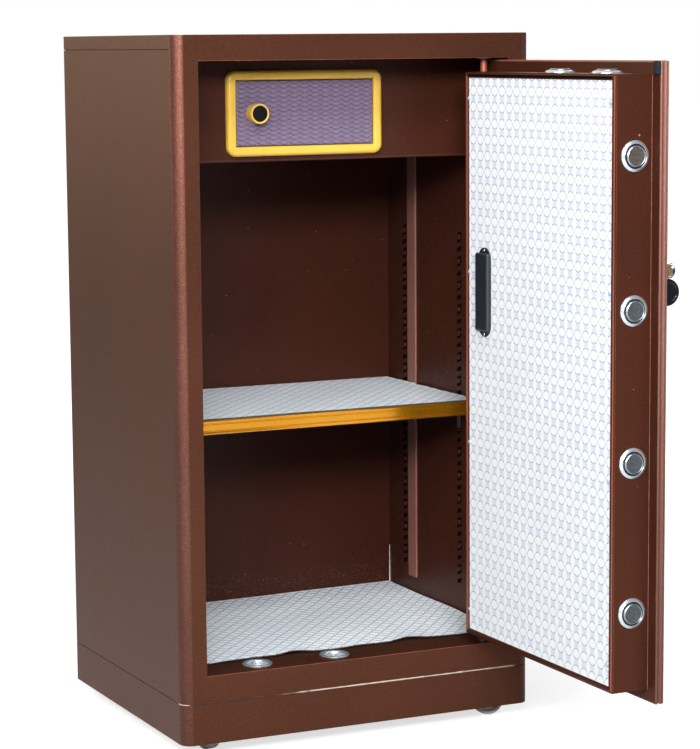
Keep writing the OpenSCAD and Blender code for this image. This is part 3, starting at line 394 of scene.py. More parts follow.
# violet panel: the height of each point of its relief is kept on the mesh as a number, and the colour follows
# it: painted shade in the grooves and a painted highlight towards the top of each scale
RELIEF = "relief"
VIOLET = Finish("violet_panel", coat_weight=0.12, coat_roughness=0.2)
relief = Value(VIOLET.tree, add_node(VIOLET.tree, "Attribute", attribute_name=RELIEF)["Fac"])
relief_shade_and_highlight = VIOLET.mix(relief.ramp(0.0, 1.0), srgb(52, 41, 58), srgb(113, 97, 122))
VIOLET.colour(VIOLET.scaled(relief_shade_and_highlight, 0.92 + VIOLET.noise(40, 3) * 0.16))
VIOLET.rough(0.40 + (VIOLET.noise(6, 3) - 0.5) * 0.1)
VIOLET.bump(VIOLET.noise(0.8, 2), 0.04)

# line over the plinth seam: dark and broken to the left, painted shade in the seam's gap, and pale to the
# right and round the corner
SEAM_SHADE_AND_LINE = Finish("seam_shade_and_line")
along_seam = SEAM_SHADE_AND_LINE.x + (SEAM_SHADE_AND_LINE.noise(26, 3, stretch=(1, 0, 0)) - 0.5) * 130
pale_seam = along_seam.ramp(-140, -60) * SEAM_SHADE_AND_LINE.noise(16, 3, stretch=(1, 0, 0)).ramp(0.30, 0.42)
pale_seam = pale_seam.most(SEAM_SHADE_AND_LINE.x.ramp(-268, -274))
SEAM_SHADE_AND_LINE.colour(SEAM_SHADE_AND_LINE.mix(pale_seam, srgb(30, 17, 13), srgb(178, 160, 148)))
SEAM_SHADE_AND_LINE.rough(0.75 + pale_seam * 0.1)


# ---- Mesh helpers


SMOOTH_BELOW, BEVEL_ABOVE = 38, 28  # degrees between two faces
BEVEL_STEPS = 3
MERGE_WITHIN = 0.02


def place_mesh(name, mesh, body, finishes, stands_for=(), smooth=SMOOTH_BELOW):
    """Shows a mesh on that body. Edges sharper than smooth degrees stay sharp."""
    obj = add_object(name, mesh)
    for finish in finishes if isinstance(finishes, list) else [finishes]:
        mesh.materials.append(finish.material)
    mesh.shade_smooth()
    mesh.set_sharp_from_angle(angle=math.radians(smooth))
    even = obj.modifiers.new("even_shading", "WEIGHTED_NORMAL")
    even.keep_sharp = True
    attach(obj, body)
    if stands_for:
        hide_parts(*stands_for)
    return obj


def dress(node, finishes, bevel=0.0, kind=None, smooth=SMOOTH_BELOW):
    """A cleaned copy of a CAD node with rounded edges. kind(middle, normal) picks a face's finish."""
    source = frame["nodes"][node]
    bm = bmesh.new()
    bm.from_mesh(source.data)
    bmesh.ops.remove_doubles(bm, verts=bm.verts, dist=MERGE_WITHIN * MM)
    bmesh.ops.dissolve_limit(bm, angle_limit=math.radians(1), verts=bm.verts, edges=bm.edges)
    bmesh.ops.recalc_face_normals(bm, faces=bm.faces)
    if bevel:
        least = math.radians(BEVEL_ABOVE)
        edges = [e for e in bm.edges if len(e.link_faces) == 2 and e.calc_face_angle(0) > least]
        bmesh.ops.bevel(
            bm, geom=edges, offset=bevel * MM, segments=BEVEL_STEPS, profile=0.5, affect="EDGES",
            clamp_overlap=True,
        )
    if kind:
        for face in bm.faces:
            face.material_index = kind(face.calc_center_median() / MM, face.normal)
    mesh = bpy.data.meshes.new(node + "_finished")
    bm.to_mesh(mesh)
    bm.free()
    place_mesh(node + "_finished", mesh, source["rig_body"], finishes, [node], smooth)


def outline(half_w, half_h, radius, arc):
    """A rounded rectangle about the origin, anticlockwise, with arc steps at each corner."""
    points = []
    for side, end, start in ((1, 1, 0), (-1, 1, 90), (-1, -1, 180), (1, -1, 270)):
        for i in range(arc + 1):
            a = math.radians(start + 90 * i / arc)
            x = side * (half_w - radius) + radius * math.cos(a)
            points.append((x, end * (half_h - radius) + radius * math.sin(a)))
    return points


def circle(radius, count):
    angles = [2 * math.pi * i / count for i in range(count)]
    return [(radius * math.cos(a), radius * math.sin(a)) for a in angles]


class Shape:
    """Closed meshes made of rings of points. kinds are numbers of finishes, one for each step."""

    def __init__(self):
        self.points, self.faces, self.kinds = [], [], []

    def rings(self, rings, kinds=None, loop=False):
        """Joins rings of points. A ring of one point is a pole. The ends are capped, or joined by loop."""
        starts = []
        for ring in rings:
            starts.append(len(self.points))
            self.points += [tuple(p) for p in ring]
        count = len(rings)
        for k in range(count if loop else count - 1):
            a, b = k, (k + 1) % count
            na, nb = len(rings[a]), len(rings[b])
            around = max(na, nb)
            for i in range(around):
                j = (i + 1) % around
                face = [starts[a] + (i if na > 1 else 0), starts[a] + (j if na > 1 else 0)]
                face += [starts[b] + (j if nb > 1 else 0), starts[b] + (i if nb > 1 else 0)]
                face = list(dict.fromkeys(face))
                if len(face) > 2:
                    self.faces.append(face)
                    self.kinds.append(kinds[k] if kinds else 0)
        if not loop:
            for k, way in ((0, -1), (count - 1, 1)):
                if len(rings[k]) > 2:
                    self.faces.append([starts[k] + i for i in range(len(rings[k]))][::way])
                    self.kinds.append((kinds[0] if k == 0 else kinds[-1]) if kinds else 0)
        return self

    def lathe(self, profile, place, count=40, kinds=None, loop=False):
        """profile is (radius, height) points about the axis; place(a, b, height) gives a point."""
        rings = []
        for radius, height in profile:
            around = circle(radius, count) if radius > 0 else [(0, 0)]
            rings.append([place(a, b, height) for a, b in around])
        return self.rings(rings, kinds, loop)

    def frame(self, profile, half_w, half_h, radius, place, kinds=None, loop=False, arc=6):
        """profile is (inset, height) points along the edge of a rounded rectangle."""
        rings = []
        for inset, height in profile:
            edge = outline(half_w - inset, half_h - inset, max(radius - inset, 0.2), arc)
            rings.append([place(a, b, height) for a, b in edge])
        return self.rings(rings, kinds, loop)

    def tube(self, path, radius, count):
        """A round bead along path. radius is a number, or gives one for each point's index."""
        rings = []
        for i, p in enumerate(path):
            p = Vector(p)
            way = (Vector(path[min(i + 1, len(path) - 1)]) - Vector(path[max(i - 1, 0)])).normalized()
            side = way.cross(Vector((0, 0, 1)) if abs(way.z) < 0.9 else Vector((0, 1, 0))).normalized()
            up = side.cross(way)
            around = circle(radius(i) if callable(radius) else radius, count)
            rings.append([tuple(p + side * a + up * b) for a, b in around])
        return self.rings(rings)

    def made(self, name, body, finishes, slot_name, stands_for=(), smooth=SMOOTH_BELOW):
        bm = bmesh.new()
        corners = [bm.verts.new([c * MM for c in p]) for p in self.points]
        for face, kind in zip(self.faces, self.kinds):
            bm.faces.new([corners[i] for i in face]).material_index = kind
        bmesh.ops.recalc_face_normals(bm, faces=bm.faces)
        mesh = bpy.data.meshes.new(name)
        bm.to_mesh(mesh)
        bm.free()
        return place_mesh(name, mesh, body, finishes, stands_for, smooth)


# ---- Places

HINGE_X, HINGE_Y = 216.0, -200.0
SILL_Z, HEAD_Z, MID_Z = 121.0, 986.0, 553.5
ROOM_X, WALL_X, BACK_Y = 257, 260.0, 200
BOLT_N, BOLT_R = -13.0, 15.0
SIDE_BOLT_Z = (248.5, 452.0, 655.5, 859.0)
END_BOLT_U = (242.0, 365.0)
CASE_EDGE_U, CASE_LOW, CASE_HIGH = 435.5, 141.0, 966.0


def door(u, n, z):
    """A point of the open door: u from the hinge to the lock edge, n out of its front, z up."""
    return HINGE_X + n, HINGE_Y - u, z


# each of these gives the place(a, b, height) of a shape
def on_door(u, z, way=1, base=0.0):
    """Flat on the door, with its height out of the front, or out of the rear with way -1."""
    return lambda a, b, h: door(u + a, base + way * h, z + b)


def across_door(n, z):
    """About an axis towards the lock edge."""
    return lambda a, b, h: door(h, n + a, z + b)


def up_door(u):
    """About the upright axis of an end bolt."""
    return lambda a, b, h: door(u + a, BOLT_N + b, h)


def upright(x, y, base=0.0, way=1):
    """About an upright axis of the body."""
    return lambda a, b, h: (x + a, y + b, base + way * h)


# ---- Casing


def on_corner(_, normal):
    """1 on the rounded front corners, which take the painted highlight."""
    return int(normal.y < -0.12 and abs(normal.x) > 0.12 and abs(normal.z) < 0.2)


def on_edge(middle, normal):
    """1 on the rounded corners, 2 on the folded edges of the opening, which take a copper painted highlight
    line.
    """
    return on_corner(middle, normal) or 2 * int(-0.97 < normal.y < -0.2)


# the rounded front corners of the casing take the painted highlight of the corner paint
for node, bevel in (("body_wrap", 0.5), ("top_cover", 0.7), ("plinth", 0.7)):
    dress(node, [BODY_PAINT, CORNER_HIGHLIGHT_PAINT], bevel, on_corner)
# the front frame's bevelled edges take copper painted highlight lines
dress("front_frame", [BODY_PAINT, CORNER_HIGHLIGHT_PAINT, EDGE_HIGHLIGHT_LINE], 1.5, on_edge)
dress("base_plate", BODY_PAINT, 0.4)
dress("fire_filling", CEMENT)
dress("inner_back", INNER_PAINT, 0.4)
for node in ("inner_side_left", "inner_side_right", "inner_floor"):
    dress(node, INNER_PAINT)
# the wall strips take a painted highlight
dress("wall_strips", STRIP_HIGHLIGHT_AND_WELD_PAINT, 0.5)
dress("shelf_clips", ZINC, 0.3)
for node, bevel in (("shelf", 0.8), ("locker_front", 0.6), ("locker_floor", 0.4)):
    dress(node, INNER_PAINT, bevel)
dress("caster_plates", ZINC, 0.4)
fold = [(x, -124.6, 842.9) for x in (-ROOM_X, -120, 0, 120, ROOM_X)]
Shape().tube(fold, 1.8, 12).made("locker_front_fold", "body", FOLD_PAINT, "inner_paint", smooth=60)

# rows of slots: near-black painted shade in and behind the slits and in a ring round each tab, and the round
# tabs pressed between the bridge slits
SLOT_ROWS = [176 + 37 * i for i in range(15)]
SLOT_Y = (-40.0, 145.0)
SLITS = ((0, 3.3), (13.0, 2.1), (24.0, 2.1))  # height over the row, half of the slit's height
SLIT_HALF_W, SLIT_SLANT = 6.8, 0.28
TAB_UP = 18.5
TAB = [(5.6, -0.1), (5.5, 0.5), (5.0, 1.2), (4.2, 1.7), (3.0, 2.0), (1.5, 1.8), (0, 1.7)]
slot_shade, tabs = Shape(), Shape()
for side in (-1, 1):
    for y in SLOT_Y:
        for z in SLOT_ROWS:
            slot_shade.lathe(
                [(0, 0.5), (7.0, 0.5), (7.0, -0.07), (0, -0.07)],
                lambda a, b, h: (side * (WALL_X + h), y + a, z + TAB_UP + b * 0.9), 20,
            )
            for up, half in SLITS:
                slot_shade.frame(
                    [(0, -0.06), (0, 1.6)], SLIT_HALF_W, half, 0.5,
                    lambda a, b, h: (side * (WALL_X + h), y + a, z + up + b - SLIT_SLANT * a), arc=2,
                )
            tabs.lathe(
                TAB, lambda a, b, h: (side * (WALL_X - h), y + 1.0 + a * 0.86, z + TAB_UP + b * 0.76), 20
            )
slot_shade.made("slot_painted_shade", "body", SHADE_BLACK, "inner_paint")
tabs.made("slot_tabs", "body", INNER_PAINT, "inner_paint", smooth=60)

# ---- Shelf and mats


def smooth_step(share):
    return share * share * (3 - 2 * share)


def sheet_of(name, left, right, front, columns, rows, faces, finish, node):
    """A mat from left to right(t) and from front(x) to the back wall; s and t run from 0 to 1.

    faces are height(x, y, s) of the upper and the lower face.
    """
    shape = Shape()
    grids = []
    for height in faces:
        grid = []
        for j in range(rows + 1):
            grid.append([])
            for i in range(columns + 1):
                s, t = i / columns, j / rows
                x = left + (right(t) - left) * s
                y = front(x) + (BACK_Y - front(x)) * t
                grid[j].append(len(shape.points))
                shape.points.append((x, y, height(x, y, s)))
        grids.append(grid)
    for kind, (grid, way) in enumerate(zip(grids, (1, -1))):
        for j in range(rows):
            for i in range(columns):
                face = [grid[j][i], grid[j][i + 1], grid[j + 1][i + 1], grid[j + 1][i]]
                shape.faces.append(face[::way])
                shape.kinds.append(kind)
    upper, lower = grids
    # the rim, like the underside, takes the dark second finish: painted shade along the cut edge
    rim = [(0, i) for i in range(columns)] + [(j, columns) for j in range(rows)]
    rim += [(rows, i) for i in range(columns, 0, -1)] + [(j, 0) for j in range(rows, 0, -1)]
    for k, (j, i) in enumerate(rim):
        j2, i2 = rim[(k + 1) % len(rim)]
        shape.faces.append([upper[j][i], upper[j2][i2], lower[j2][i2], lower[j][i]])
        shape.kinds.append(1)
    obj = shape.made(name, "body", [finish, BACKING_AND_EDGE_SHADE], "patterned_mat", [node], smooth=60)


# points of the floor mat's cut front edge, and its humps there: middle, width and height
FRONT_EDGE = [
    (-257, -162.0), (-216, -163.0), (-143, -157.0), (-103, -158.0), (-76, -151.5), (-43, -160.0),
    (-10, -161.0), (44, -157.0), (77, -157.0), (114, -149.0), (140, -158.0), (204, -161.0), (257, -162.0),
]
HUMPS = ((-76, 22, 2.6), (114, 24, 3.0), (-186, 20, 0.8), (30, 26, 0.7))
HUMPS_Y, HUMPS_DEPTH = -162, 46
# how far the floor mat rides up the right wall, and the back wall at its left end and more to its right
RIGHT_LIFT, BACK_LIFT, BACK_LIFT_GAIN = 6.3, 2.3, 5.6
RIGHT_LIFT_X, BACK_LIFT_Y = 130, 80  # where the lifts start
LIFT_START_Y, LIFT_DEPTH = -150, 130  # along y, the right lift grows from here, over this depth


def front_edge(x):
    for (x0, y0), (x1, y1) in zip(FRONT_EDGE, FRONT_EDGE[1:]):
        if x <= x1:
            return y0 + (y1 - y0) * smooth_step((x - x0) / (x1 - x0))
    return FRONT_EDGE[-1][1]


def wall_curl(x, y):
    """The mat rides up the right wall, except at its front corner, and more and more up the back."""
    away_from_front = smooth_step(min(max((y - LIFT_START_Y) / LIFT_DEPTH, 0.0), 1.0))
    side_lift = RIGHT_LIFT * max(0.0, (x - RIGHT_LIFT_X) / (ROOM_X - RIGHT_LIFT_X)) ** 2 * away_from_front
    back_lift = BACK_LIFT + BACK_LIFT_GAIN * (x + ROOM_X) / (2 * ROOM_X)
    back = max(0.0, (y - BACK_LIFT_Y) / (BACK_Y - BACK_LIFT_Y)) ** 2
    return side_lift + back * (back_lift - side_lift)


def floor_height(base):
    """Humps at the front edge, a slight ripple, and the curl at the walls."""

    def height(x, y, s):
        near_front = max(0.0, 1 - (y - HUMPS_Y) / HUMPS_DEPTH)
        lift = sum(h * math.exp(-(((x - at) / wide) ** 2)) for at, wide, h in HUMPS) * near_front**1.4
        ripple = 0.45 * noise.noise(Vector((x / 70, y / 60, 3.1)))
        return base + (lift + ripple + wall_curl(x, y))

    return height


TURN_FROM = 0.985  # share of the shelf mat's width from which its edge turns up


def shelf_height(base, wave, lift):
    """Waves a little, and turns up at the cut right edge."""

    def height(x, y, s):
        turned = max(0, s - TURN_FROM) / (1 - TURN_FROM) * abs(noise.noise(Vector((y / 9, 0, 2))))
        return base + wave * noise.noise(Vector((x / 60, y / 60, 0))) + lift * turned

    return height


def shelf_front(x):
    return -106 + 0.6 * noise.noise(Vector((x / 30, 0, 0)))


def ragged(t):
    """The roughly cut right edge of the shelf's mat."""
    fine, notch = noise.noise(Vector((t * 26, 0.5, 0))), noise.noise(Vector((t * 9, 4, 0)))
    return 255.2 - 2.6 * abs(fine) - 5.5 * max(0, notch)


FLOOR_TOP, SHELF_TOP, MAT_T = 123.4, 470.4, 1.5
sheet_of(
    "floor_mat_vinyl", -ROOM_X, lambda t: ROOM_X, front_edge, 110, 60,
    (floor_height(FLOOR_TOP), floor_height(FLOOR_TOP - MAT_T)),
    MAT_FLOOR, "floor_mat",
)
sheet_of(
    "shelf_mat_vinyl", -255.5, ragged, shelf_front, 90, 90,
    (shelf_height(SHELF_TOP, 0.35, 2.2), shelf_height(SHELF_TOP - MAT_T, 0.30, 2.0)),
    MAT_SHELF, "shelf_mat",
)

# trim: one drawn section (y, z) along x, with its ends closed
TRIM_SECTION = [
    (-99.5, 468.5), (-108.5, 468.5), (-110.2, 468.1), (-111.0, 466.9), (-111.0, 464.2), (-110.2, 463.5),
    (-110.2, 462.6), (-111.0, 461.9), (-111.0, 453.9), (-110.4, 453.2), (-109.6, 452.7), (-109.6, 452.1),
    (-110.6, 451.6), (-111.0, 450.6), (-111.0, 448.6), (-110.2, 447.7), (-109.0, 447.5), (-107.0, 447.5),
    (-107.0, 466.6), (-99.5, 466.6),
]
trim = Shape().rings([[(x, y, z) for y, z in TRIM_SECTION] for x in (-258.5, -258.2, 258.2, 258.5)])
trim.made("shelf_trim_section", "body", AMBER, "amber_trim", ["shelf_trim"], smooth=30)

# ---- Cups, bushes and hinge pins

CUP_X, CUP_Y = (-26.0, -149.0), -187
CUP_FLANGE = [(22.0, 0.0), (22.0, 0.9), (21.2, 1.9), (19.6, 2.3), (18.2, 1.8), (17.0, 0.9)]
CUP_INSIDE = [
    (16.2, 0.0), (15.8, -4.0), (15.4, -9.0), (13.0, -12.0), (9.0, -12.9), (4.0, -12.4), (0.0, -12.0),
]
CUP_UNDER = [(0.0, -14.4), (14.0, -14.2), (17.4, -12.0), (18.0, -9.0), (18.0, -0.2), (21.8, 0.0)]
HEAD_FLATTER = 0.15  # how much of its height a cup's flange has in the header
cups = Shape()
for x in CUP_X:
    for base, way, flange_share in ((SILL_Z, 1, 1), (HEAD_Z, -1, HEAD_FLATTER)):
        cups.lathe(
            [(r, h * flange_share) for r, h in CUP_FLANGE] + CUP_INSIDE + CUP_UNDER,
            upright(x, CUP_Y, base, way), 48, kinds=[0] * 6 + [1] * 13, loop=True,
        )
cups.made("bolt_cups_turned", "body", [FLANGE_CHROME, CUP_STEEL], "chrome", ["bolt_cups"])

bushes = Shape()
for base, way, bore in ((SILL_Z, 1, 6.2), (HEAD_Z, -1, 5.2)):
    section = [(bore, 1.9), (bore, -7.8), (8.6, -7.8), (8.6, -0.1), (11.0, 0.1), (11.0, 1.3), (10.2, 2.0)]
    section += [(8.0, 2.3), (bore + 0.6, 2.3)]
    bushes.lathe(section, upright(HINGE_X, HINGE_Y, base, way), 36, loop=True)
bushes.made("hinge_bushes_turned", "body", BRIGHT, "bright_steel", ["hinge_bushes"])

UPPER_PIN = [
    (0, 966), (5.0, 966), (5.0, 984.4), (4.6, 985.2), (2.1, 985.6), (2.1, 990.2), (1.7, 991.6), (0.9, 992.3),
    (0, 992.5),
]
LOWER_PIN = [(0, 114.3), (5.2, 114.3), (6.0, 115.4), (6.0, 141.0), (0, 141.0)]
pins = Shape()
pins.lathe(UPPER_PIN, upright(HINGE_X, HINGE_Y), 28, kinds=[0] * 4 + [1] * 4)
pins.lathe(LOWER_PIN, upright(HINGE_X, HINGE_Y), 28, kinds=[1] * 4)
pins.made("hinge_pins_turned", "door", [BEAD_HIGHLIGHT_AND_PIN_PAINT, BRIGHT], "bright_steel", ["hinge_pins"])

# ---- Locker

LOCKER_X, LOCKER_Z = -38.5, 910.0
LOCKER_RIM = [
    (0.3, 0.0), (0.0, 0.8), (0.3, 4.2), (1.0, 6.2), (2.4, 7.8), (4.2, 8.7), (6.0, 9.0), (11.2, 8.9),
    (12.6, 8.5), (13.6, 7.5), (14.2, 5.5), (14.5, 3.0), (14.5, -1.6), (13.0, -1.6), (13.0, 0.0),
]
rim = Shape().frame(
    LOCKER_RIM, 123, 61.5, 14, lambda a, b, h: (LOCKER_X + a, -125.0 - h, LOCKER_Z + b), loop=True, arc=8
)
rim.made("locker_frame_moulded", "body", YELLOW, "yellow_frame", ["locker_frame"], smooth=45)

SCALE_X, SCALE_Z = 16.5, 6.7
SCALE_START = (-138.2, 867.8)
RELIEF_DEPTH = 0.85


def relief_height(x, z):
    """0 in the grooves to 1 on the scales, on a lattice of rhombi."""
    dx = abs((x - SCALE_START[0] + SCALE_X / 2) % SCALE_X - SCALE_X / 2) / (SCALE_X / 2)
    dz_signed = ((z - SCALE_START[1] + SCALE_Z / 2) % SCALE_Z - SCALE_Z / 2) / (SCALE_Z / 2)
    d = dx + abs(dz_signed)
    # the groove under each scale lies lower than the one over it, and each scale rises towards its top, which
    # the colour turns into painted shade and painted highlight
    if d < 0.90:
        return 0.80 + 0.20 * min(1.0, (1 - d) * 2.2) + 0.10 * dz_signed
    if d < 1.12:
        return 0.05 if dz_signed < 0 else 0.36
    return 0.76 + (0.24 if d > 1.90 else 0.0)


def locker_leaf():
    """The embossed leaf: a grid of points in front and a flat back."""
    half_w, half_h, front, back = 107.9, 46.4, -130.4, -128.0
    columns, rows = 300, 132
    shape = Shape()
    heights = []
    for j in range(rows + 1):
        for i in range(columns + 1):
            x = LOCKER_X - half_w + 2 * half_w * i / columns
            z = LOCKER_Z - half_h + 2 * half_h * j / rows
            edge = min(i, columns - i, 2.0) / 2 * min(j, rows - j, 2.0) / 2
            heights.append(relief_height(x, z) * edge)
            shape.points.append((x, front - RELIEF_DEPTH * heights[-1], z))
    for j in range(rows):
        for i in range(columns):
            a = j * (columns + 1) + i
            shape.faces.append([a, a + 1, a + columns + 2, a + columns + 1])
    border = list(range(columns + 1))
    border += [(columns + 1) * (j + 1) - 1 for j in range(1, rows + 1)]
    border += [(columns + 1) * rows + i for i in range(columns - 1, -1, -1)]
    border += [(columns + 1) * j for j in range(rows - 1, 0, -1)]
    start = len(shape.points)
    for i in border:
        x, _, z = shape.points[i]
        shape.points.append((x, back, z))
        heights.append(0.0)
    n = len(border)
    for k in range(n):
        shape.faces.append([border[k], border[(k + 1) % n], start + (k + 1) % n, start + k])
    shape.faces.append([start + k for k in range(n)])
    shape.kinds = [0] * len(shape.faces)
    obj = shape.made(
        "locker_panel_embossed", "locker_door", VIOLET, "violet_panel", ["locker_panel"], smooth=25
    )
    obj.data.attributes.new(RELIEF, "FLOAT", "POINT").data.foreach_set("value", heights)


locker_leaf()

KNOB_X = -117.4
COLLAR = [
    (12.7, -0.5), (14.2, -0.5), (14.5, 0.6), (14.3, 14.0), (14.5, 15.4), (14.4, 17.0), (13.9, 17.9),
    (12.3, 17.9), (11.7, 17.5), (11.7, 16.9), (12.7, 16.7),
]


def knob_at(a, b, h):
    return KNOB_X + a, -131.0 - h, LOCKER_Z + b


collar = Shape().lathe(COLLAR, knob_at, 44, loop=True)
collar.made("locker_collar_ring", "locker_door", YELLOW, "yellow_frame", ["locker_collar"], smooth=45)
knob = Shape().lathe(
    [(0, -11.4), (3.8, -11.4), (3.8, 0.4), (12.4, 0.4), (12.4, 16.2), (11.3, 16.5), (0, 16.5)], knob_at, 44
)
knob.frame([(0, 16.2), (0, 16.8), (0.3, 17.0)], 2.0, 0.7, 0.6, knob_at)
knob.made("locker_knob_turned", "locker_turn", KNOB_BLACK, "black_plastic", ["locker_knob"])
dress("locker_cam", ZINC, 0.2)

# ---- Door slab

PLATE = (240.5, 429.5, 2.0)  # half width, half height and corner radius
PLATE_EDGE = [
    (2.4, 0.0), (1.6, 0.0), (0.6, 0.3), (0.0, 1.4), (0.3, 2.5), (1.1, 3.0), (1.4, 5.0), (1.1, 6.9),
    (0.3, 7.4), (0.0, 8.8), (0.3, 10.0), (0.9, 10.5), (0.7, 10.9), (0.4, 11.5), (0.6, 12.1), (1.6, 12.5),
    (6.0, 12.5), (6.0, 11.0), (2.4, 10.6),
]
plate_at = on_door(216.0, MID_Z, base=13.5)
# the folded edge takes the painted highlight of the plate edge paint
plate = Shape().frame(PLATE_EDGE, *PLATE, plate_at, kinds=[1] * 15 + [0] * 4, loop=True, arc=3)
plate.frame([(5.9, 12.5), (5.9, 11.0)], *PLATE, plate_at, arc=3)
plate.made("door_skin_folded", "door", [DOOR_PAINT, PLATE_EDGE_HIGHLIGHT_PAINT], "body_paint", ["door_skin"], smooth=50)
dress("door_fire_board", CEMENT)
dress("door_rear_sheet", DOOR_PAINT, 0.3)
dress("door_case", DOOR_PAINT)

# the folded lips of the case are rounded beads, with a painted highlight in the bead paint on the hinge side
# and on one edge on the lock side
LIP = [
    (1.6, -39.8), (-0.05, -40.6), (0.2, -41.7), (1.3, -42.6), (3.8, -43.0), (6.4, -42.8), (8.2, -42.2),
    (8.9, -41.3), (8.9, -40.2),
]
LIP_LOW, LIP_HIGH, LIP_HINGE_U, LIP_LOCK_U = 150, 957, 32.5, 426.0
lips = Shape().frame(
    LIP, 206.25, 412.5, 2.0, on_door(229.25, MID_Z), kinds=[0, 1, 1, 1, 0, 0, 0, 0, 0], loop=True, arc=4
)
beads = lips.made("case_lip_beads", "door", [DOOR_PAINT, BEAD_HIGHLIGHT_AND_PIN_PAINT], "body_paint", smooth=60)
for face in beads.data.polygons:
    u, z = HINGE_Y - face.center.y / MM, face.center.z / MM
    if not LIP_LOW < z < LIP_HIGH:
        face.material_index = 0
    elif u < LIP_HINGE_U:
        face.material_index = 1
    elif u < LIP_LOCK_U:
        face.material_index = 0

LINER_U, LINER_Z, TOP_SHADOW_Z = 229.3, 554.8, 961.2
LINER_EDGE = [(0.0, -39.0), (0.0, -41.4), (0.6, -42.0), (1.2, -42.0)]
TOP_SHADOW_EDGE = [(0.0, -41.8), (0.0, -43.0), (0.3, -43.3)]
liner = Shape().frame(LINER_EDGE, 196.4, 406.5, 1.0, on_door(LINER_U, LINER_Z), arc=2)
liner.made("door_liner_board", "door", LINER_BOARD, "patterned_board", ["door_liner"], smooth=30)
dress("liner_clips", CLIP_BLUE)
# a near-black strip along the top edge of the liner: painted shadow under the case's top lip
top_shadow = Shape().frame(TOP_SHADOW_EDGE, 196.6, 1.7, 0.3, on_door(LINER_U, TOP_SHADOW_Z), arc=2)
top_shadow.made("liner_top_painted_shadow", "door", SHADE_BLACK, "black_plastic")


def weld_radius(i):
    return 0.35 + 0.4 * abs(noise.noise(Vector((i * 0.7, 0, 0))))


weld = Shape().tube([door(CASE_EDGE_U + 0.7, 12.9, CASE_LOW + i * 5.5) for i in range(151)], weld_radius, 6)
for n, z, size in ((-6.0, 886.0, 1.9), (-12.0, 551.0, 1.0), (-20.0, 700.0, 0.7), (-5.0, 420.0, 0.7)):
    drop = [(0, -0.3), (size, -0.3), (size * 0.8, size * 0.3), (0, size * 0.45)]
    weld.lathe([(r, CASE_EDGE_U + h) for r, h in drop], across_door(n, z), 12)
weld.made("case_weld_bead", "door", STRIP_HIGHLIGHT_AND_WELD_PAINT, "body_paint", smooth=70)

# battery box: a raised base with round ends and two screws, and a cover with one soft bevel and ribs
BATTERY_U, BATTERY_Z, SCREW_UP = 80.5, 652, 60.5
RIB_HALF, RIB_N, RIB_TOP, RIB_STEP = 12, -49.45, 700, 2.2
battery = Shape().frame(
    [(0.0, 42.0), (0.0, 42.9), (0.5, 43.4), (2.0, 43.5)], 18.5, 64.5, 18.3,
    on_door(BATTERY_U, BATTERY_Z, -1), arc=10,
)
for end in (-1, 1):
    battery.lathe(
        [(0, 43.2), (2.6, 43.4), (2.9, 44.0), (2.4, 44.8), (1.2, 45.1), (0, 45.1)],
        on_door(BATTERY_U, BATTERY_Z + end * SCREW_UP, -1), 20, kinds=[1] * 5,
    )
battery.made("battery_base_moulded", "door", [BLACK, ZINC], "black_plastic", ["battery_base"])
cover = Shape().frame(
    [(0.3, 43.5), (0.0, 44.2), (0.2, 46.4), (1.0, 48.2), (2.6, 49.2), (4.4, 49.5)], 18.5, 56.5, 2.6,
    on_door(BATTERY_U, BATTERY_Z, -1), arc=4,
)
for i in range(3):
    rib = [door(BATTERY_U + end * RIB_HALF, RIB_N, RIB_TOP - i * RIB_STEP) for end in (-1, 1)]
    cover.tube(rib, 0.45, 6)
cover.made("battery_cover_moulded", "door", BLACK, "black_plastic", ["battery_cover"])

# ---- Bolts


def bolt_profile(face, length, way):
    """(radius, height) of a bolt whose face is at that height, pointing way."""
    steps = [(0, -0.9), (11.4, -0.9), (12.2, -0.35), (12.9, 0.0), (13.9, -0.5), (14.7, -1.6), (BOLT_R, -3.2)]
    steps += [(BOLT_R, -length + 1.0), (BOLT_R - 1.0, -length), (0, -length)]
    return [(r, face + way * h) for r, h in steps]


SIDE_FACE_U, TOP_FACE_Z, BOTTOM_FACE_Z = 441.5, 972, 135
SIDE_BOLT_L, END_BOLT_L = 40.5, 46
BOLT_KINDS = [1] * 2 + [0] * 7
FLANGE = [
    (15.7, -2.0), (15.7, 2.4), (16.1, 3.3), (16.9, 3.8), (17.8, 3.6), (19.4, 2.4), (20.2, 2.1), (20.9, 1.5),
    (21.0, 0.3), (20.6, -0.1), (17.4, -0.1), (17.4, -2.0),
]
flanges, side_bolts, top_bolts, bottom_bolts = Shape(), Shape(), Shape(), Shape()


def add_flange(base, way, place):
    profile = [(r, base + way * h) for r, h in FLANGE]
    flanges.lathe(profile, place, 48, [1] * 3 + [0] * 9, loop=True)


for z in SIDE_BOLT_Z:
    side_bolts.lathe(bolt_profile(SIDE_FACE_U, SIDE_BOLT_L, 1), across_door(BOLT_N, z), 48, BOLT_KINDS)
    add_flange(CASE_EDGE_U, 1, across_door(BOLT_N, z))
for u in END_BOLT_U:
    top_bolts.lathe(bolt_profile(TOP_FACE_Z, END_BOLT_L, 1), up_door(u), 48, BOLT_KINDS)
    bottom_bolts.lathe(bolt_profile(BOTTOM_FACE_Z, END_BOLT_L, -1), up_door(u), 48, BOLT_KINDS)
    add_flange(CASE_HIGH, 1, up_door(u))
    add_flange(CASE_LOW, -1, up_door(u))
flanges.made("bolt_flanges_turned", "door", [FLANGE_CHROME, ZINC], "chrome", ["bolt_flanges"], smooth=45)
for place, bolts in (("side", side_bolts), ("top", top_bolts), ("bottom", bottom_bolts)):
    name = place + "_bolts"
    bolts.made(name + "_turned", "bolts_" + place, [BRIGHT, BOLT_END], "bright_steel", [name])

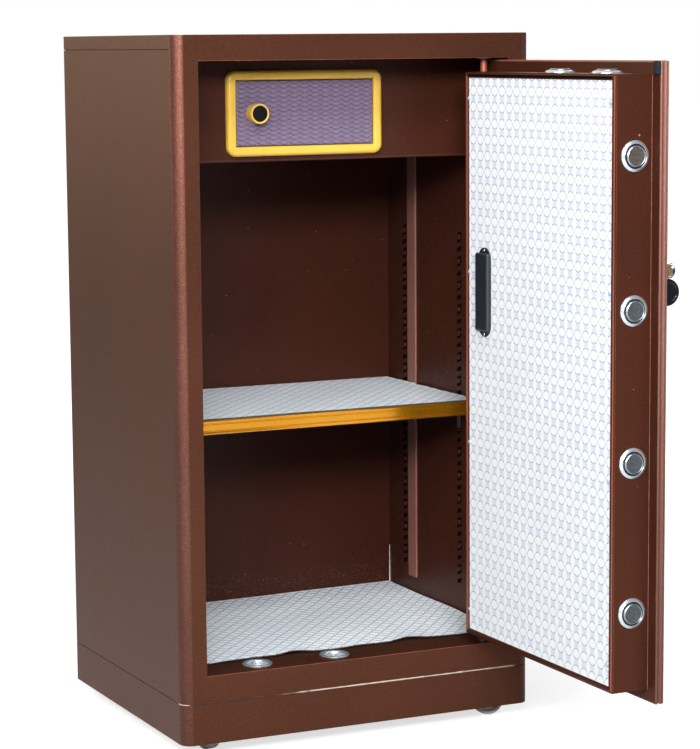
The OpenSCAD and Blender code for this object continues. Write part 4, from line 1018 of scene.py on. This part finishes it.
for node in ("side_bolt_bar", "top_bolt_bar", "bottom_bolt_bar", "cam_disc", "spindle", "lock_case"):
    dress(node, ZINC, 0.3)
dress("hinge_brackets", DOOR_PAINT, 0.5)

# ---- Lock on the front

LOCK_U, PANEL_Z, PAD_Z = 371, 760, 817
LEVER_N, LEVER_Z = 47, 705
PANEL = [
    (0.4, 26.0), (0.0, 26.8), (0.0, 31.2), (0.7, 33.2), (2.2, 34.2), (4.0, 34.5), (6.0, 34.4), (6.6, 34.0),
    (7.4, 34.0),
]
panel = Shape().frame(PANEL, 65, 120, 12, on_door(LOCK_U, PANEL_Z), arc=8)
panel.made("lock_panel_moulded", "door", BLACK, "black_plastic", ["lock_panel"], smooth=45)
pad = Shape().frame(
    [(0.2, 34.0), (0.0, 34.6), (0.2, 35.6), (1.0, 36.3), (2.4, 36.5)], 46, 48, 6, on_door(LOCK_U, PAD_Z)
)
pad.made("keypad_window", "door", GLASS, "keypad_glass", ["keypad"], smooth=45)

KEYS = "123456789*0#"
KEY_STEP_U, KEY_STEP_Z, KEYS_TOP, KEYS_N = 27, 22, 850, 36.55
digits = bmesh.new()
for index, key in enumerate(KEYS):
    text = bpy.data.curves.new("key_mark", "FONT")
    text.body = key
    text.size = 13
    text.extrude = 0.12
    text.align_x = text.align_y = "CENTER"
    carrier = add_object("key_mark", text)
    bpy.context.view_layer.update()
    letter = carrier.to_mesh().copy()
    row, column = divmod(index, 3)
    for vert in letter.vertices:
        u = LOCK_U - ((column - 1) * KEY_STEP_U + vert.co.x)
        point = door(u, KEYS_N + vert.co.z, KEYS_TOP - row * KEY_STEP_Z + vert.co.y)
        vert.co = [c * MM for c in point]
    digits.from_mesh(letter)
    bpy.data.objects.remove(carrier)
    bpy.data.meshes.remove(letter)
bmesh.ops.recalc_face_normals(digits, faces=digits.faces)
digit_mesh = bpy.data.meshes.new("keypad_digits")
digits.to_mesh(digit_mesh)
digits.free()
place_mesh("keypad_digits", digit_mesh, "door", MARKS)

dress("handle_lever", CHROME, 1.6)
dress("key_cylinder", GOLD, 0.4)
dress("key_plug", GOLD, 0.2)
dress("key", KEY_BLACK, smooth=50)
LEVER_END = [
    (0, 421), (9.6, 421), (10.0, 422), (10.0, 426.6), (9.2, 428.0), (8.0, 428.0), (7.2, 426.8), (6.8, 426.2),
    (0, 426.2),
]
lever_end = Shape().lathe(LEVER_END, across_door(LEVER_N, LEVER_Z), 36, kinds=[0] * 7 + [1])
lever_end.made("lever_end_ring", frame["nodes"]["handle_lever"]["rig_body"], [CHROME, INLAY], "chrome")
rubber = Shape().frame(
    [(0.0, 13.5), (0.0, 9.8), (0.8, 8.6), (2.0, 8.2)], 6.0, 9.0, 2.0, on_door(449.5, 973.5), arc=4
)
rubber.made("corner_buffer", "door", RUBBER, "black_plastic")

# ---- Casters

CASTER_X, CASTER_Y, TRAIL, WHEEL_R = 219, 181, 13, 25.0
CASTERS = {  # side, end and the direction of the trail in degrees
    "front_right": (1, -1, 0),
    "front_left": (-1, -1, 100),
    "back_right": (1, 1, 80),
    "back_left": (-1, 1, 130),
}
TREAD = [
    (4.2, 4.6), (10.0, 4.6), (11.0, 4.0), (18.5, 4.0), (19.4, 8.2), (20.6, 9.0), (23.2, 9.0), (24.6, 7.4),
    (WHEEL_R, 4.0),
]


def wheel_place(side, end, trail):
    a = math.radians(trail)
    flat = Vector((math.cos(a), math.sin(a), 0))
    axle = Vector((-math.sin(a), math.cos(a), 0))
    middle = Vector((side * CASTER_X + TRAIL * math.cos(a), end * CASTER_Y + TRAIL * math.sin(a), WHEEL_R))
    return lambda p, q, h: tuple(middle + flat * p + Vector((0, 0, 1)) * q + axle * h)


for name, where in CASTERS.items():
    wheel = Shape().lathe(TREAD + [(r, -h) for r, h in TREAD[::-1]], wheel_place(*where), 48, loop=True)
    node = "caster_wheel_" + name
    wheel.made(node + "_turned", "wheel_" + name, NYLON, "nylon", [node])
    dress("caster_fork_" + name, ZINC, 0.4)

# ---- Lines: a seam line over the plinth, round its left corner and along the front, and a sealing line up a corner inside

SEAM_Z, SEAM_R, SEAM_CORNER = 81.6, 17.0, (-263, -208)
THICK_FROM = 48  # number of the point from which the line is thicker
seam_path = []
for i in range(13):
    a = math.radians(180 + 90 * i / 12)
    seam_path.append((SEAM_CORNER[0] + SEAM_R * math.cos(a), SEAM_CORNER[1] + SEAM_R * math.sin(a), SEAM_Z))
seam_path += [(-250 + 504 * i / 120, -225.0, SEAM_Z) for i in range(121)]


def seam_radius(i):
    return (0.80 + 0.40 * noise.noise(Vector((i * 0.33, 1.7, 0)))) * (1.35 if i > THICK_FROM else 1.0)


def room_corner_radius(i):
    return max(0.35, 1.5 - i * 0.05 + 0.5 * noise.noise(Vector((i * 0.8, 5.0, 0))))


seam = Shape().tube(seam_path, seam_radius, 8)
seam.made("plinth_seam_line", "body", SEAM_SHADE_AND_LINE, "body_paint", smooth=80)
corner = Shape().tube([(258.9, 201.9, 124 + 3.2 * i) for i in range(22)], room_corner_radius, 8)
corner.made("room_corner_caulk", "body", PALE_CAULK, "inner_paint", smooth=80)

# ---- Studio: camera rays see it white, and light and reflections see a greyer floor and sky


def rays(tree, *kinds):
    """For each kind of ray, 1 on rays of that kind."""
    path = add_node(tree, "LightPath")
    return [Value(tree, path["Is %s Ray" % kind]) for kind in kinds]


def combined(tree, channels):
    return add_node(tree, "CombineColor", dict(enumerate(channels)))[0]


FLOOR_HALF = 30.0
floor_mesh = bpy.data.meshes.new("studio_floor")
corners = [(a * FLOOR_HALF, b * FLOOR_HALF, 0) for a, b in ((-1, -1), (1, -1), (1, 1), (-1, 1))]
floor_mesh.from_pydata(corners, [], [(0, 1, 2, 3)])
add_object("studio_floor", floor_mesh)

floor_material = bpy.data.materials.new("studio_floor")
floor_material.use_nodes = True
floor_mesh.materials.append(floor_material)
tree = floor_material.node_tree
shader = tree.nodes["Principled BSDF"]
shader.inputs["Roughness"].default_value = 0.9
shader.inputs["Specular IOR Level"].default_value = 0.1
camera_ray, glossy_ray, through_ray, diffuse_ray = rays(tree, "Camera", "Glossy", "Transmission", "Diffuse")
place = add_node(tree, "TexCoord")["Object"]
far = Value(tree, add_node(tree, "VectorMath", {0: place}, operation="LENGTH")["Value"])
glow = (camera_ray + through_ray).least(1.0) * (far.ramp(0.9, 3.2) * 0.34 + 0.70)
shader.inputs["Emission Color"].default_value = (1, 1, 1, 1)
feed(tree, glow, shader.inputs["Emission Strength"])
tone = glossy_ray * 0.15 + diffuse_ray * -0.36 + 0.62
feed(tree, combined(tree, [tone] * 3), shader.inputs["Base Color"])

AMBIENT = 0.135
COOL = (0.90, 0.97, 1.15)  # tint of the ambient light
WARM = (1.0, 0.92, 0.74)  # tint of what glossy surfaces reflect from behind
world = bpy.data.worlds.new("studio")
scene.world = world
world.use_nodes = True
tree = world.node_tree
camera_ray, glossy_ray, through_ray = rays(tree, "Camera", "Glossy", "Transmission")
parts = add_node(tree, "SeparateXYZ", {0: add_node(tree, "TexCoord")["Generated"]})
way_x, way_y, way_z = (Value(tree, part) for part in parts)
# 0 for most directions, up to 1 high behind the safe
behind = (way_y * 0.90 - way_x * 0.20 + way_z * 0.42).ramp(0.32, 0.95)
reflected = behind * 0.80 + 0.22
white = camera_ray.most(through_ray)
strength = white + white.opposite() * (glossy_ray * (reflected - AMBIENT) + AMBIENT)
scattered = white.opposite() * glossy_ray.opposite()
tints = [
    (scattered * (cool - 1) + 1) * (glossy_ray * behind * (warm - 1) + 1) for cool, warm in zip(COOL, WARM)
]
background = tree.nodes["Background"]
feed(tree, strength, background.inputs["Strength"])
feed(tree, combined(tree, tints), background.inputs["Color"])


def power_for(share, distance):
    """A white face square to a lamp of this power, at that distance, is lit to that share of white."""
    return share * math.pi**2 * distance**2


def lamp(name, azimuth, height, distance, width, tall, power, aim=(0, 0, 0.55), colour=(1, 1, 1)):
    """A soft box. azimuth is in degrees left of straight in front."""
    data = bpy.data.lights.new(name, "AREA")
    data.shape = "RECTANGLE"
    data.size, data.size_y = width, tall
    data.energy = power
    data.color = colour
    a = math.radians(azimuth)
    where = Vector((-math.sin(a) * distance, -math.cos(a) * distance, height))
    facing = (Vector(aim) - where).to_track_quat("-Z", "Y")
    add_object(name, data).matrix_world = Matrix.Translation(where) @ facing.to_matrix().to_4x4()


lamp("key_box", 22, 2.1, 4.2, 1.5, 0.75, power_for(0.84, 4.5), aim=(-0.1, 0, 0.6))
lamp("high_front", 14, 3.7, 3.0, 1.4, 1.0, power_for(0.56, 4.3))
lamp("edge_strip", 37, 2.0, 3.9, 0.3, 1.2, power_for(0.22, 4.1))
lamp("left_fill", 56, 2.1, 3.8, 0.9, 1.6, power_for(0.42, 4.1), colour=(1.0, 0.95, 0.87))
lamp("rear_right", -128, 2.0, 3.8, 1.8, 2.0, power_for(0.34, 3.8))
lamp("rear_left", 140, 1.6, 3.6, 1.6, 2.0, power_for(0.13, 3.7), colour=(1.0, 0.83, 0.56))
